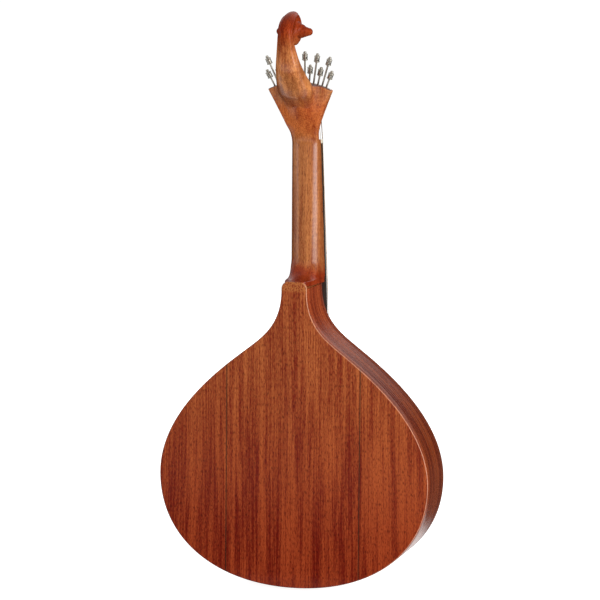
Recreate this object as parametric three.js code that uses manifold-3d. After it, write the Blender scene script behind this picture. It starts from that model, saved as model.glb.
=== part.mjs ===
// A twelve-string Portuguese guitar of the Lisbon shape, upright on its tail.
// Millimetres: X to the treble side, Y to the back, Z up along the neck.
// Depths are counted from the flat back towards the player's front, so y is minus a depth.

import * as THREE from 'three';
import { mergeVertices } from 'three/addons/utils/BufferGeometryUtils.js';
import Module from 'manifold-3d';

const wasm = await Module();
wasm.setup();

// Body
const BODY_WIDTH = 372;
const BODY_LENGTH = 412;
const TAIL_DEPTH = 95;
const NECK_END_DEPTH = 75;
const WIDEST_HEIGHT = 147;
const SHOULDER_HALF_WIDTH = 67;
const SHOULDER_BELOW_END = 93.4;
const SHOULDER_SLOPE_DEGREES = 37.5;
const TAB_HALF_WIDTH = 17.6;
const TAB_SIDE_BELOW_END = 11;
const TAB_CORNER = 9;
const BACK_THICKNESS = 2.8;
const BACK_EDGE_ROUND = 2.2;
const BACK_SEAM_OFFSET = 92;
const RIB_THICKNESS = 2.2;
const LINING_WIDTH = 5;
const LINING_HEIGHT = 9;
const SOUNDBOARD_THICKNESS = 2.8;
const SOUNDHOLE_RADIUS = 38;
const SOUNDHOLE_BELOW_BOARD = 2;
const ROSETTE_INNER_RADIUS = 41;
const ROSETTE_OUTER_RADIUS = 50;
const ROSETTE_THICKNESS = 0.9;
const NECK_BLOCK_LENGTH = 55;
const TAIL_BLOCK_WIDTH = 60;
const TAIL_BLOCK_THICKNESS = 18;
const BRACE_WIDTH = 8;
const BRACE_HEIGHT = 13;
const BRACE_SCALLOP = 32;
const BRACE_BELOW_ROSETTE = 0.96;

// Neck and fingerboard
const NECK_LENGTH = 180;
const NECK_ANGLE_DEGREES = 5;
const NUT_HALF_WIDTH = 19.1;
const JOINT_HALF_WIDTH = 22;
const BOARD_THICKNESS = 6;
const BOARD_LENGTH = 324;
const BOARD_CROWN = 1.2;
const SCALE_LENGTH = 445;
const FRET_COUNT = 22;
const FRET_WIDTH = 2;
const FRET_HEIGHT = 1;
const FRET_INSET = 0.4;
const NECK_THICKNESS_AT_NUT = 20.5;
const NECK_THICKNESS_AT_JOINT = 33.5;
const HEEL_SEAT_BELOW_TAB = 7;
const HEEL_RISE = 36;
const NECK_SIDE_HEIGHT = 5;
const NUT_THICKNESS = 5;
const NUT_SLOPE = 0.8;

// Head and scroll
const HEAD_RISE = 150;
const HEAD_SWEEP = 94.5;
const HEAD_EDGE_BEHIND_SCREWS = 7;
const HEAD_EDGE_RISE = 28;
const HEAD_LEAN_DEGREES = 16.8;
const FLARE_START = 18;
const FLARE_EASE = 7.5;
const FLARE_SLOPE_DEGREES = 26;
const STEM_TOP_THICKNESS = 11;
const STEM_TOP_HALF_WIDTH = 10;
const STEM_ROOT_SPREAD = 12.6;
const RIDGE_SINK = 5;
const VOLUTE_BACK_RADIUS = 49;
const VOLUTE_RADIUS = 23.6;
const VOLUTE_CLOSING = 12;
const VOLUTE_BAND = 8;
const VOLUTE_CREST_HALF_WIDTH = 5.8;
const VOLUTE_WEB_HALF_WIDTH = 5;
const EYE_LENGTH = 47.5;
const EYE_SHOULDER = 15;
const EYE_BASE_RADIUS = 8.5;
const EYE_TIP_RADIUS = 4;

// Fan tuner
const FAN_APEX_BELOW_NUT = 2.5;
const FAN_APEX_DEPTH = 47.9;
const FAN_RADIUS = 88;
const FAN_INNER_RADIUS = 43;
const FAN_HALF_ANGLE_DEGREES = 26.2;
const FAN_GAP_DEGREES = 0.35;
const SCREW_STEP_DEGREES = 3.78;
const MIDDLE_SCREW_DEGREES = 4.1;
const CAVITY_MARGIN_DEGREES = 2;
const CASE_HALF_DEPTH = 4;
const CASE_WALL = 3;
const CASE_PLATE = 1.2;
const SLOT_WIDTH = 1.6;
const SLOT_INNER_MARGIN = 7;
const SLOT_OUTER_MARGIN = 9;
const THREAD_RADIUS = 0.8;
const SHAFT_RADIUS = 1.2;
const COLLAR_RADIUS = 1.9;
const COLLAR_LENGTH = 1.8;
const LONG_KNOB_ABOVE_CASE = 36.5;
const SHORT_KNOB_ABOVE_CASE = 19;
const KNOB_DIAMETER = 7.2;
const KNOB_LENGTH = 8.3;
const KNOB_BUTTON_DIAMETER = 4;
const KNOB_BUTTON_LENGTH = 3.8;
const KNOB_CHAMFER = 0.6;
const BLOCK_WIDTH = 2.8;
const BLOCK_LENGTH = 6;
const BLOCK_DEPTH = 4.8;
const HOOK_REST_RADIUS = 60;
const HOOK_POST_WIDTH = 1;
const HOOK_POST_LENGTH = 1.6;
const HOOK_REACH = 2.8;
const HOOK_FINGER_LENGTH = 3;
const HOOK_FINGER_THICKNESS = 0.8;
const HOOK_SINK = 0.6;

// Strings and their rests, the courses from the bass side to the treble side
const STRING_DIAMETERS = [0.95, 0.5, 0.8, 0.4, 0.65, 0.35, 0.45, 0.45, 0.35, 0.35, 0.3, 0.3];
const NUT_COURSE_SPACING = 6.8;
const NUT_PAIR_SPACING = 2.5;
const SADDLE_COURSE_SPACING = 10;
const SADDLE_PAIR_SPACING = 3;
const NUT_LIFT = 1.7;
const SADDLE_LIFT = 3.6;
const SADDLE_HEIGHT = 6;
const SADDLE_THICKNESS = 3;
const SADDLE_WIDTH = 60;
const BRIDGE_WIDTH = 92;
const BRIDGE_THICKNESS = 9;
const BRIDGE_FOOT = 22;
const BRIDGE_ARCH = 6;
const BRIDGE_SHOULDER = 4;
const NOTCH_OPENING = 6;
const END_REST_WIDTH = 64;
const END_REST_HEIGHT = 5;
const END_REST_LENGTH = 6;
const END_REST_OVERHANG = 1.6;
const END_REST_CHAMFER = 1.2;
const TAILPIECE_WIDTH = 66;
const TAILPIECE_THICKNESS = 1.5;
const TAILPIECE_TOP_MARGIN = 6;
const TAILPIECE_LENGTH = 44;
const PIN_MARGIN = 6;
const PIN_RADIUS = 1;
const PIN_LENGTH = 4.6;
const PIN_HEAD = 0.9;
const PIN_ROW_SPACING = 7;

// Clearances
const GLUE = 0.3;
const HALF_SEAM = 0.15;
const RUNNING = 0.3;
const OVERRUN = 20;

// Shares of the sizes above
const LOWER_TAIL_SHARE = 0.588;
const LOWER_SIDE_SHARE = 0.612;
const UPPER_SIDE_SHARE = 0.48;
const UPPER_SHOULDER_SHARE = 0.367;
const NECK_SHOULDER_SHARE = 0.62;
const NECK_TAB_SHARE = 0.56;
const HEAD_BACK_SHARES = [[0, 0], [0.2, 0], [0.63, 1], [1, 1]];
const STEM_FRONT_SHARES = [[0.45, 0.02], [0.6, 0.36], [0.76, 0.882], [1, 0.882]];
const STEM_START_SHARE = 0.3;
const STEM_ROOT_SHARE = 0.55;
const STEM_ROOT_END_SHARE = 0.28;
const STEM_SQUARENESS_SHARE = 0.85;
const HEAD_END_SHARE = 0.64;
const BRACE_END_SHARE = 0.35;
const BRIDGE_WING_SHARE = 0.45;
const BRIDGE_CREST_SHARE = 0.5;
const STEM_BELLY_SHARE = 0.5;
const VOLUTE_BELLY_SHARE = 0.82;
const TAIL_BRACE_SHARE = 0.17;
const SHOULDER_BRACE_SHARE = 0.705;
const BACK_BRACE_SHARES = [0.2, 0.45, 0.7];

// Turns and roundness of the carved sections
const SHAFT_POWER = 2.2;
const HEEL_POWER = 5;
const RIDGE_POWER = 2;
const RIM_RIDGE_POWER = 5;
const STEM_TAPER_POWER = 1.25;
const VOLUTE_STEP_POWER = 1.35;
const VOLUTE_OPENING_DEGREES = 40;
const VOLUTE_CLOSING_DEGREES = 540;
const VOLUTE_SETTLE_DEGREES = 120;
const VOLUTE_SPREAD_DEGREES = 300;
const VOLUTE_SPLIT_DEGREES = 300;
const VOLUTE_END_DEGREES = 500;
const VOLUTE_WEB_START = 60;
const VOLUTE_WEB_END = 390;
const VOLUTE_WEB_STEP = 15;

const FAN_TOP_HEIGHT = FAN_RADIUS - FAN_APEX_BELOW_NUT;
const SLOT_INNER_RADIUS = FAN_INNER_RADIUS + SLOT_INNER_MARGIN;
const SLOT_OUTER_RADIUS = FAN_RADIUS - SLOT_OUTER_MARGIN;
const LONG_KNOB_RADIUS = FAN_RADIUS + LONG_KNOB_ABOVE_CASE;
const SHORT_KNOB_RADIUS = FAN_RADIUS + SHORT_KNOB_ABOVE_CASE;
const STRING_COUNT = STRING_DIAMETERS.length;

const radians = THREE.MathUtils.degToRad;
const { lerp, smoothstep } = THREE.MathUtils;
const HALF_WIDTH = BODY_WIDTH / 2;
const SHOULDER_HEIGHT = BODY_LENGTH - SHOULDER_BELOW_END;
const TAB_HEIGHT = BODY_LENGTH - TAB_SIDE_BELOW_END;
const NUT_HEIGHT = BODY_LENGTH + NECK_LENGTH;
const NECK_FALL = Math.tan(radians(NECK_ANGLE_DEGREES));
const HEAD_LEAN = radians(HEAD_LEAN_DEGREES);
const FAN_FRAME = new THREE.Matrix4().makeRotationX(-HEAD_LEAN)
  .setPosition(0, -FAN_APEX_DEPTH, NUT_HEIGHT - FAN_APEX_BELOW_NUT);
const CASE_FRONT = CASE_HALF_DEPTH + CASE_PLATE;
const BOARD_FACE_AT_JOINT = NECK_END_DEPTH + GLUE + BOARD_THICKNESS;
const SADDLE_Z = NUT_HEIGHT - SCALE_LENGTH * Math.cos(radians(NECK_ANGLE_DEGREES));
const SOUNDHOLE_Z = NUT_HEIGHT - BOARD_LENGTH - SOUNDHOLE_BELOW_BOARD - SOUNDHOLE_RADIUS;

// Materials
const WOODS = {
  back: [0x8c3f26, 0.32],
  rib: [0x70301c, 0.3],
  neck: [0x9c5430, 0.32],
  spruce: [0xdcb67c, 0.45],
  inner: [0xc9a26c, 0.7],
  board: [0x2a1b15, 0.5],
  bridge: [0x3a2217, 0.5],
  bone: [0xece2cb, 0.4],
  inlay: [0x4a2d1c, 0.4],
};

function wood(name) {
  const [color, roughness] = WOODS[name];
  return new THREE.MeshStandardMaterial({ color, roughness, metalness: 0 });
}

function metal(color, roughness) {
  return new THREE.MeshStandardMaterial({ color, roughness, metalness: 1 });
}

// Solids

// A solid with its corners merged, its slivers dropped and its faces turned outwards
function solidOf(geometry) {
  const bare = geometry.clone();
  bare.deleteAttribute('normal');
  bare.deleteAttribute('uv');
  const merged = mergeVertices(bare);
  const corners = merged.attributes.position;
  const triangles = [];
  let volume = 0;
  const [a, b, c] = [new THREE.Vector3(), new THREE.Vector3(), new THREE.Vector3()];
  for (let i = 0; i < merged.index.count; i += 3) {
    const triangle = [0, 1, 2].map((corner) => merged.index.getX(i + corner));
    if (new Set(triangle).size === 3) {
      [a, b, c].forEach((p, corner) => p.fromBufferAttribute(corners, triangle[corner]));
      volume += a.dot(b.cross(c));
      triangles.push(triangle);
    }
  }
  if (volume < 0) {
    triangles.forEach((triangle) => triangle.reverse());
  }
  return new wasm.Manifold(new wasm.Mesh({
    numProp: 3,
    vertProperties: Float32Array.from(corners.array),
    triVerts: Uint32Array.from(triangles.flat()),
  }));
}

function geometryOf(solid) {
  const mesh = solid.getMesh();
  const geometry = new THREE.BufferGeometry();
  geometry.setAttribute('position', new THREE.BufferAttribute(mesh.vertProperties, 3));
  geometry.setIndex(new THREE.BufferAttribute(mesh.triVerts, 1));
  return geometry;
}

// A closed skin through rings of equal length, with a flat fan over each end
function loft(rings) {
  const count = rings[0].length;
  const points = rings.flat();
  const triangles = [];
  for (let r = 0; r + 1 < rings.length; r += 1) {
    for (let i = 0; i < count; i += 1) {
      const a = r * count + i;
      const b = r * count + ((i + 1) % count);
      triangles.push([a, b, b + count], [a, b + count, a + count]);
    }
  }
  for (const start of [0, points.length - count]) {
    const middle = points.slice(start, start + count)
      .reduce((sum, p) => sum.add(p), new THREE.Vector3()).divideScalar(count);
    const centre = points.push(middle) - 1;
    for (let i = 0; i < count; i += 1) {
      const cap = [start + i, centre, start + ((i + 1) % count)];
      triangles.push(start === 0 ? cap : cap.reverse());
    }
  }
  const geometry = new THREE.BufferGeometry().setFromPoints(points);
  geometry.setIndex(triangles.flat());
  return solidOf(geometry);
}

function at(x, depth, z) {
  return new THREE.Vector3(x, -depth, z);
}

function boxAt(width, depth, height, [x, y, z]) {
  return solidOf(new THREE.BoxGeometry(width, depth, height).translate(x, y, z));
}

// A side profile of [depth, z] corners carried across the body
function across(profile, halfWidth, middle = 0) {
  const ring = (x) => profile.map(([depth, z]) => at(x, depth, z));
  return loft([ring(middle - halfWidth), ring(middle + halfWidth)]);
}

// Body plan

function frontDepth(z) {
  return lerp(TAIL_DEPTH, NECK_END_DEPTH, z / BODY_LENGTH);
}

function halfOutline() {
  const tail = new THREE.Vector2(0, 0);
  const widest = new THREE.Vector2(HALF_WIDTH, WIDEST_HEIGHT);
  const shoulder = new THREE.Vector2(SHOULDER_HALF_WIDTH, SHOULDER_HEIGHT);
  const tab = new THREE.Vector2(TAB_HALF_WIDTH, TAB_HEIGHT);
  const slope = radians(SHOULDER_SLOPE_DEGREES);
  const along = new THREE.Vector2(Math.cos(slope), -Math.sin(slope));
  const rise = SHOULDER_HEIGHT - WIDEST_HEIGHT;
  const outward = along.clone().multiplyScalar(
    UPPER_SHOULDER_SHARE * (HALF_WIDTH - SHOULDER_HALF_WIDTH));
  const inward = along.clone().multiplyScalar(
    NECK_SHOULDER_SHARE * (SHOULDER_HALF_WIDTH - TAB_HALF_WIDTH));
  const curves = [
    [tail, new THREE.Vector2(LOWER_TAIL_SHARE * HALF_WIDTH, 0),
      new THREE.Vector2(HALF_WIDTH, (1 - LOWER_SIDE_SHARE) * WIDEST_HEIGHT), widest],
    [widest, new THREE.Vector2(HALF_WIDTH, WIDEST_HEIGHT + UPPER_SIDE_SHARE * rise),
      shoulder.clone().add(outward), shoulder],
    [shoulder, shoulder.clone().sub(inward),
      new THREE.Vector2(TAB_HALF_WIDTH, lerp(TAB_HEIGHT, SHOULDER_HEIGHT, NECK_TAB_SHARE)), tab],
  ];
  const counts = [14, 12, 10];
  const points = curves.flatMap((controls, i) => (
    new THREE.CubicBezierCurve(...controls).getPoints(counts[i]).slice(0, -1)));
  const corner = new THREE.EllipseCurve(TAB_HALF_WIDTH - TAB_CORNER, BODY_LENGTH - TAB_CORNER,
    TAB_CORNER, TAB_CORNER, 0, Math.PI / 2);
  return [...points, ...corner.getPoints(5)];
}

// The whole outline, drawn in by an inset along its own normals
function outline(inset) {
  const right = halfOutline();
  const left = right.slice(1).reverse().map((p) => new THREE.Vector2(-p.x, p.y));
  const whole = [...right, ...left];
  return whole.map((p, i) => {
    const before = whole[(i + whole.length - 1) % whole.length];
    const after = whole[(i + 1) % whole.length];
    const run = after.clone().sub(before).normalize();
    return new THREE.Vector2(p.x - run.y * inset, p.y + run.x * inset);
  });
}

function bodyRing(inset, depth) {
  return outline(inset).map((p) => at(p.x, depth, p.y));
}

function bodyPrism(inset) {
  return loft([bodyRing(inset, -OVERRUN), bodyRing(inset, TAIL_DEPTH + OVERRUN)]);
}

// The slanted layer that lies between two distances behind the soundboard's face
function frontLayer(outer, inner) {
  const low = -OVERRUN;
  const high = BODY_LENGTH + OVERRUN;
  return across([
    [frontDepth(low) - outer, low],
    [frontDepth(high) - outer, high],
    [frontDepth(high) - inner, high],
    [frontDepth(low) - inner, low],
  ], BODY_WIDTH);
}

function frontDisc(radius, z) {
  const disc = new THREE.CylinderGeometry(radius, radius, 2 * OVERRUN, 40);
  disc.translate(0, -frontDepth(z), z);
  return solidOf(disc);
}

function backBoards() {
  const rings = [0, 1, 2, 3].map((step) => {
    const turn = (step / 3) * (Math.PI / 2);
    return bodyRing(BACK_EDGE_ROUND * (1 - Math.sin(turn)), BACK_EDGE_ROUND * (1 - Math.cos(turn)));
  });
  const plate = loft([...rings, bodyRing(0, BACK_THICKNESS)]);
  const cut = (low, high) => plate.intersect(
    boxAt(high - low, BODY_WIDTH, 3 * BODY_LENGTH, [(low + high) / 2, 0, 0]));
  return {
    back_right_panel: cut(-BODY_WIDTH, -BACK_SEAM_OFFSET - HALF_SEAM),
    back_centre_panel: cut(-BACK_SEAM_OFFSET + HALF_SEAM, BACK_SEAM_OFFSET - HALF_SEAM),
    back_left_panel: cut(BACK_SEAM_OFFSET + HALF_SEAM, BODY_WIDTH),
  };
}

// Ribs, linings and blocks

const HEEL_SEAT = BODY_LENGTH - HEEL_SEAT_BELOW_TAB;
const NECK_BLOCK_BOTTOM = HEEL_SEAT - NECK_BLOCK_LENGTH;

// The space between the back and the soundboard from one height to another
function insideLayer(low, high, inBack = 0, inFront = 0) {
  const back = BACK_THICKNESS + GLUE + inBack;
  const front = SOUNDBOARD_THICKNESS + GLUE + inFront;
  return across([
    [back, low],
    [back, high],
    [frontDepth(high) - front, high],
    [frontDepth(low) - front, low],
  ], BODY_WIDTH);
}

function tailBlock(margin) {
  const top = RIB_THICKNESS + TAIL_BLOCK_THICKNESS + margin;
  const block = boxAt(TAIL_BLOCK_WIDTH + 2 * margin, 2 * BODY_WIDTH, 2 * top, [0, 0, 0]);
  return block.intersect(bodyPrism(RIB_THICKNESS + GLUE - margin));
}

function ribHalf(side) {
  const shell = bodyPrism(0).subtract(bodyPrism(RIB_THICKNESS));
  const ring = bodyPrism(RIB_THICKNESS / 2).subtract(bodyPrism(RIB_THICKNESS + LINING_WIDTH));
  const low = -OVERRUN;
  const linings = ring
    .intersect(insideLayer(low, NECK_BLOCK_BOTTOM - GLUE))
    .subtract(insideLayer(low, BODY_LENGTH, LINING_HEIGHT, LINING_HEIGHT))
    .subtract(tailBlock(GLUE));
  const half = boxAt(BODY_WIDTH, 3 * BODY_WIDTH, 3 * BODY_LENGTH,
    [side * (BODY_WIDTH / 2 + HALF_SEAM), 0, 0]);
  return shell.intersect(insideLayer(low, HEEL_SEAT - GLUE)).add(linings).intersect(half);
}

function neckBlock() {
  return bodyPrism(RIB_THICKNESS + GLUE)
    .intersect(insideLayer(NECK_BLOCK_BOTTOM, HEEL_SEAT - GLUE));
}

function halfWidthAt(z, inset) {
  const side = outline(inset).filter((p) => p.x > 0);
  const upper = side.findIndex((p) => p.y > z);
  const [below, above] = [side[upper - 1], side[upper]];
  return lerp(below.x, above.x, (z - below.y) / (above.y - below.y));
}

// A bar across the body with scalloped ends; surface gives the depth that it is glued to
function brace(z, surface, inward) {
  const [low, high] = [z - BRACE_WIDTH / 2, z + BRACE_WIDTH / 2];
  const inset = RIB_THICKNESS + LINING_WIDTH + GLUE;
  const reach = Math.min(halfWidthAt(low, inset), halfWidthAt(high, inset));
  const end = BRACE_END_SHARE * BRACE_HEIGHT;
  const level = reach - BRACE_SCALLOP;
  const profile = [[-reach, 0], [reach, 0], [reach, end], [level, BRACE_HEIGHT],
    [-level, BRACE_HEIGHT], [-reach, end]];
  const ring = (height) => profile.map(([x, rise]) => at(x, surface(height) + inward * rise, height));
  return loft([ring(low), ring(high)]);
}

// Soundboard and rosette

function ringBand(inner, outer) {
  return frontDisc(outer, SOUNDHOLE_Z).subtract(frontDisc(inner, SOUNDHOLE_Z));
}

function soundboard() {
  const channel = ringBand(ROSETTE_INNER_RADIUS - GLUE, ROSETTE_OUTER_RADIUS + GLUE)
    .intersect(frontLayer(-OVERRUN, ROSETTE_THICKNESS + GLUE));
  return bodyPrism(0)
    .intersect(frontLayer(0, SOUNDBOARD_THICKNESS))
    .subtract(frontDisc(SOUNDHOLE_RADIUS, SOUNDHOLE_Z))
    .subtract(channel);
}

function rosette() {
  return ringBand(ROSETTE_INNER_RADIUS, ROSETTE_OUTER_RADIUS)
    .intersect(frontLayer(0, ROSETTE_THICKNESS));
}

// Fingerboard

function faceDepth(z) {
  return BOARD_FACE_AT_JOINT - NECK_FALL * (z - BODY_LENGTH);
}

function boardHalfWidth(z) {
  return lerp(JOINT_HALF_WIDTH, NUT_HALF_WIDTH, (z - BODY_LENGTH) / NECK_LENGTH);
}

function underDepth(z) {
  return z < BODY_LENGTH ? frontDepth(z) + GLUE : faceDepth(z) - BOARD_THICKNESS;
}

// A section across the board whose top follows the crown, from a depth up to a lift over it
function crownRing(z, halfWidth, floor, lift) {
  const steps = 4;
  const ring = [at(-halfWidth, floor, z), at(halfWidth, floor, z)];
  for (let i = 0; i <= steps; i += 1) {
    const share = 1 - (2 * i) / steps;
    const crown = BOARD_CROWN * (1 - share * share);
    ring.push(at(halfWidth * share, faceDepth(z) + crown + lift, z));
  }
  return ring;
}

function alongScale(distance) {
  return NUT_HEIGHT - distance * Math.cos(radians(NECK_ANGLE_DEGREES));
}

function fingerboard() {
  const heights = [alongScale(BOARD_LENGTH), BODY_LENGTH, NUT_HEIGHT];
  let board = loft(heights.map((z) => crownRing(z, boardHalfWidth(z), underDepth(z), 0)));
  for (let fret = 1; fret <= FRET_COUNT; fret += 1) {
    const z = alongScale(SCALE_LENGTH * (1 - 2 ** (-fret / 12)));
    const half = boardHalfWidth(z) - FRET_INSET;
    const rings = [z - FRET_WIDTH / 2, z + FRET_WIDTH / 2].map((edge) => (
      crownRing(edge, half, faceDepth(edge) - FRET_HEIGHT, FRET_HEIGHT)));
    board = board.add(loft(rings));
  }
  return board;
}

// Neck, heel, fan head and scroll from one piece of wood

const NECK_BACK_AT_NUT = faceDepth(NUT_HEIGHT) - BOARD_THICKNESS - GLUE - NECK_THICKNESS_AT_NUT;
const NECK_BACK_AT_JOINT = BOARD_FACE_AT_JOINT - BOARD_THICKNESS - GLUE - NECK_THICKNESS_AT_JOINT;
const LEDGE_HEIGHT = NUT_HEIGHT + GLUE + NUT_THICKNESS;

function bezier(shares, t) {
  const [a, b, c, d] = shares.map(([x, y]) => new THREE.Vector2(x, y));
  return new THREE.CubicBezierCurve(a, b, c, d).getPoint(t);
}

// A point of the head's side view, from shares of its rise and of its sweep to the back
function headPoint(shares, t) {
  const p = bezier(shares, t);
  return { z: NUT_HEIGHT + HEAD_RISE * p.x, depth: NECK_BACK_AT_NUT - HEAD_SWEEP * p.y };
}

function fanDepth(z) {
  return FAN_APEX_DEPTH - Math.tan(HEAD_LEAN) * (z - NUT_HEIGHT + FAN_APEX_BELOW_NUT);
}

function neckFront(z) {
  return z > BODY_LENGTH
    ? faceDepth(z) - BOARD_THICKNESS - GLUE
    : frontDepth(z) - SOUNDBOARD_THICKNESS - GLUE;
}

function neckHalfWidth(z) {
  const rise = z - NUT_HEIGHT - FLARE_START;
  const slope = Math.tan(radians(FLARE_SLOPE_DEGREES));
  const flare = rise > 0 ? (slope * rise * rise) / (rise + FLARE_EASE) : 0;
  return z > NUT_HEIGHT ? NUT_HALF_WIDTH + flare : boardHalfWidth(z);
}

// One level section: straight front, short flat sides and a back that turns from
// a box at the heel through a round shaft to a narrow ridge behind the fan
function neckRing(z, back) {
  const steps = 20;
  const front = neckFront(z);
  const half = neckHalfWidth(z);
  const heel = 1 - smoothstep(z, BODY_LENGTH, BODY_LENGTH + HEEL_RISE);
  const head = smoothstep(z, NUT_HEIGHT, NUT_HEIGHT + FAN_TOP_HEIGHT);
  const edge = smoothstep(z, NUT_HEIGHT, NUT_HEIGHT + HEAD_EDGE_RISE);
  const side = lerp(front - NECK_SIDE_HEIGHT, fanDepth(z) - HEAD_EDGE_BEHIND_SCREWS, edge);
  const backHalf = lerp(half, TAB_HALF_WIDTH, heel);
  const power = lerp(SHAFT_POWER, HEEL_POWER, heel);
  const ring = [];
  for (let i = 0; i <= steps; i += 1) {
    const share = -Math.cos((Math.PI * i) / steps);
    const round = (1 - Math.min(1, Math.abs(share) ** power)) ** (1 / power);
    const ridge = Math.cos((Math.PI / 2) * share) ** lerp(RIDGE_POWER, RIM_RIDGE_POWER, head);
    const reach = lerp(round, ridge, head);
    ring.push(at(share * lerp(half, backHalf, reach), side - (side - back) * reach, z));
  }
  return [...ring, at(half, front, z), at(-half, front, z)];
}

function neckShaft() {
  const seatBack = BACK_THICKNESS + GLUE;
  const rings = [neckRing(HEEL_SEAT, seatBack), neckRing(BODY_LENGTH, seatBack)];
  const heelSteps = 7;
  for (let i = 0; i <= heelSteps; i += 1) {
    const share = i / heelSteps;
    const z = lerp(BODY_LENGTH + GLUE, BODY_LENGTH + HEEL_RISE, share);
    const turn = Math.sin((Math.PI / 2) * share);
    rings.push(neckRing(z, lerp(seatBack, NECK_BACK_AT_JOINT, turn)));
  }
  for (const share of [0.5, 1]) {
    const z = lerp(BODY_LENGTH + HEEL_RISE, NUT_HEIGHT, share);
    rings.push(neckRing(z, lerp(NECK_BACK_AT_JOINT, NECK_BACK_AT_NUT, share)));
  }
  const headSteps = 12;
  for (let i = 1; i <= headSteps; i += 1) {
    const p = headPoint(HEAD_BACK_SHARES, HEAD_END_SHARE * (i / headSteps));
    const sink = RIDGE_SINK * smoothstep(p.z, NUT_HEIGHT, NUT_HEIGHT + FAN_TOP_HEIGHT);
    rings.push(neckRing(p.z, p.depth + sink));
  }
  return loft(rings);
}

// The room that the fan's round rim leaves below it
function rimRoom() {
  const arc = new THREE.CylinderGeometry(FAN_RADIUS, FAN_RADIUS, 2 * BODY_WIDTH, 72);
  arc.applyMatrix4(FAN_FRAME);
  const lower = boxAt(BODY_WIDTH, 2 * BODY_WIDTH, 2 * NUT_HEIGHT, [0, 0, 0]);
  return solidOf(arc).add(lower);
}

// The space in front of the head's leaning face, above the ledge behind the nut
function faceRoom() {
  const high = NUT_HEIGHT + 2 * HEAD_RISE;
  const face = (z) => fanDepth(z) + CASE_FRONT / Math.cos(HEAD_LEAN);
  return across([
    [face(LEDGE_HEIGHT), LEDGE_HEIGHT],
    [face(high), high],
    [BODY_WIDTH, high],
    [BODY_WIDTH, LEDGE_HEIGHT],
  ], BODY_WIDTH);
}

// A section of the stem or scroll between a back point and a front point, widest at its belly
function stemRing(back, front, halfWidth, belly) {
  const steps = 14;
  const ring = [];
  for (let i = 0; i < steps; i += 1) {
    const turn = (2 * Math.PI * i) / steps;
    const [c, s] = [Math.cos(turn), Math.sin(turn)];
    const out = Math.sign(c) * Math.abs(c) ** STEM_SQUARENESS_SHARE;
    const fore = belly + (s > 0 ? 1 - belly : -belly) * Math.abs(s) ** STEM_SQUARENESS_SHARE;
    ring.push(at(halfWidth * out, lerp(back.depth, front.depth, fore),
      lerp(back.z, front.z, fore)));
  }
  return ring;
}

function toward(from, to, share) {
  return { depth: lerp(from.depth, to.depth, share), z: lerp(from.z, to.z, share) };
}

function stem() {
  const steps = 14;
  const rings = [];
  for (let i = 0; i <= steps; i += 1) {
    const t = i / steps;
    const back = headPoint(HEAD_BACK_SHARES, lerp(STEM_START_SHARE, 1, t));
    const front = headPoint(STEM_FRONT_SHARES, t);
    const half = STEM_TOP_HALF_WIDTH + STEM_ROOT_SPREAD * (1 - t) ** STEM_TAPER_POWER;
    const size = lerp(STEM_ROOT_SHARE, 1, Math.min(1, t / STEM_ROOT_END_SHARE));
    const middle = toward(back, front, STEM_BELLY_SHARE);
    rings.push(stemRing(toward(middle, back, size), toward(middle, front, size), half * size,
      STEM_BELLY_SHARE));
  }
  return loft(rings);
}

const EYE_DEPTH = NECK_BACK_AT_NUT - HEAD_SWEEP + VOLUTE_BACK_RADIUS;
const EYE_Z = NUT_HEIGHT + HEAD_RISE;

function voluteRadius(degrees) {
  const opening = (VOLUTE_BACK_RADIUS - VOLUTE_RADIUS) / (1 + (degrees / VOLUTE_OPENING_DEGREES) ** 2);
  return opening + VOLUTE_RADIUS - VOLUTE_CLOSING * (degrees / VOLUTE_CLOSING_DEGREES);
}

// A point about the scroll's eye; zero degrees is straight behind it and the turn goes over the top
function volutePoint(degrees, radius) {
  const turn = radians(degrees);
  return { depth: EYE_DEPTH - radius * Math.cos(turn), z: EYE_Z + radius * Math.sin(turn) };
}

function voluteTurn(first, last, steps) {
  const rings = [];
  for (let i = 0; i <= steps; i += 1) {
    const degrees = lerp(first, last, (i / steps) ** VOLUTE_STEP_POWER);
    const radius = voluteRadius(degrees);
    const fade = smoothstep(degrees, 0, VOLUTE_SETTLE_DEGREES);
    const band = lerp(STEM_TOP_THICKNESS, VOLUTE_BAND, fade);
    const belly = lerp(STEM_BELLY_SHARE, VOLUTE_BELLY_SHARE, fade);
    const spread = smoothstep(degrees, VOLUTE_SPREAD_DEGREES, VOLUTE_END_DEGREES);
    const crest = lerp(STEM_TOP_HALF_WIDTH, VOLUTE_CREST_HALF_WIDTH, fade);
    const half = lerp(crest, EYE_SHOULDER, spread);
    rings.push(stemRing(volutePoint(degrees, radius), volutePoint(degrees, radius - band), half, belly));
  }
  return loft(rings);
}

function voluteWeb() {
  const ring = (x) => {
    const points = [];
    for (let degrees = VOLUTE_WEB_START; degrees <= VOLUTE_WEB_END; degrees += VOLUTE_WEB_STEP) {
      const p = volutePoint(degrees, voluteRadius(degrees) - VOLUTE_BAND / 2);
      points.push(at(x, p.depth, p.z));
    }
    return points;
  };
  return loft([ring(-VOLUTE_WEB_HALF_WIDTH), ring(VOLUTE_WEB_HALF_WIDTH)]);
}

function scrollEye() {
  const half = EYE_LENGTH / 2;
  const tip = new THREE.EllipseCurve(0, half - EYE_TIP_RADIUS, EYE_TIP_RADIUS, EYE_TIP_RADIUS,
    0, Math.PI / 2).getPoints(4);
  const upper = [new THREE.Vector2(EYE_BASE_RADIUS, STEM_TOP_HALF_WIDTH), ...tip];
  const lower = upper.map((p) => new THREE.Vector2(p.x, -p.y)).reverse();
  const profile = [...lower, ...upper];
  profile[0].x = 0;
  profile[profile.length - 1].x = 0;
  const eye = new THREE.LatheGeometry(profile, 18);
  eye.rotateZ(Math.PI / 2);
  eye.translate(0, -EYE_DEPTH, EYE_Z);
  return solidOf(eye);
}

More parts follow.
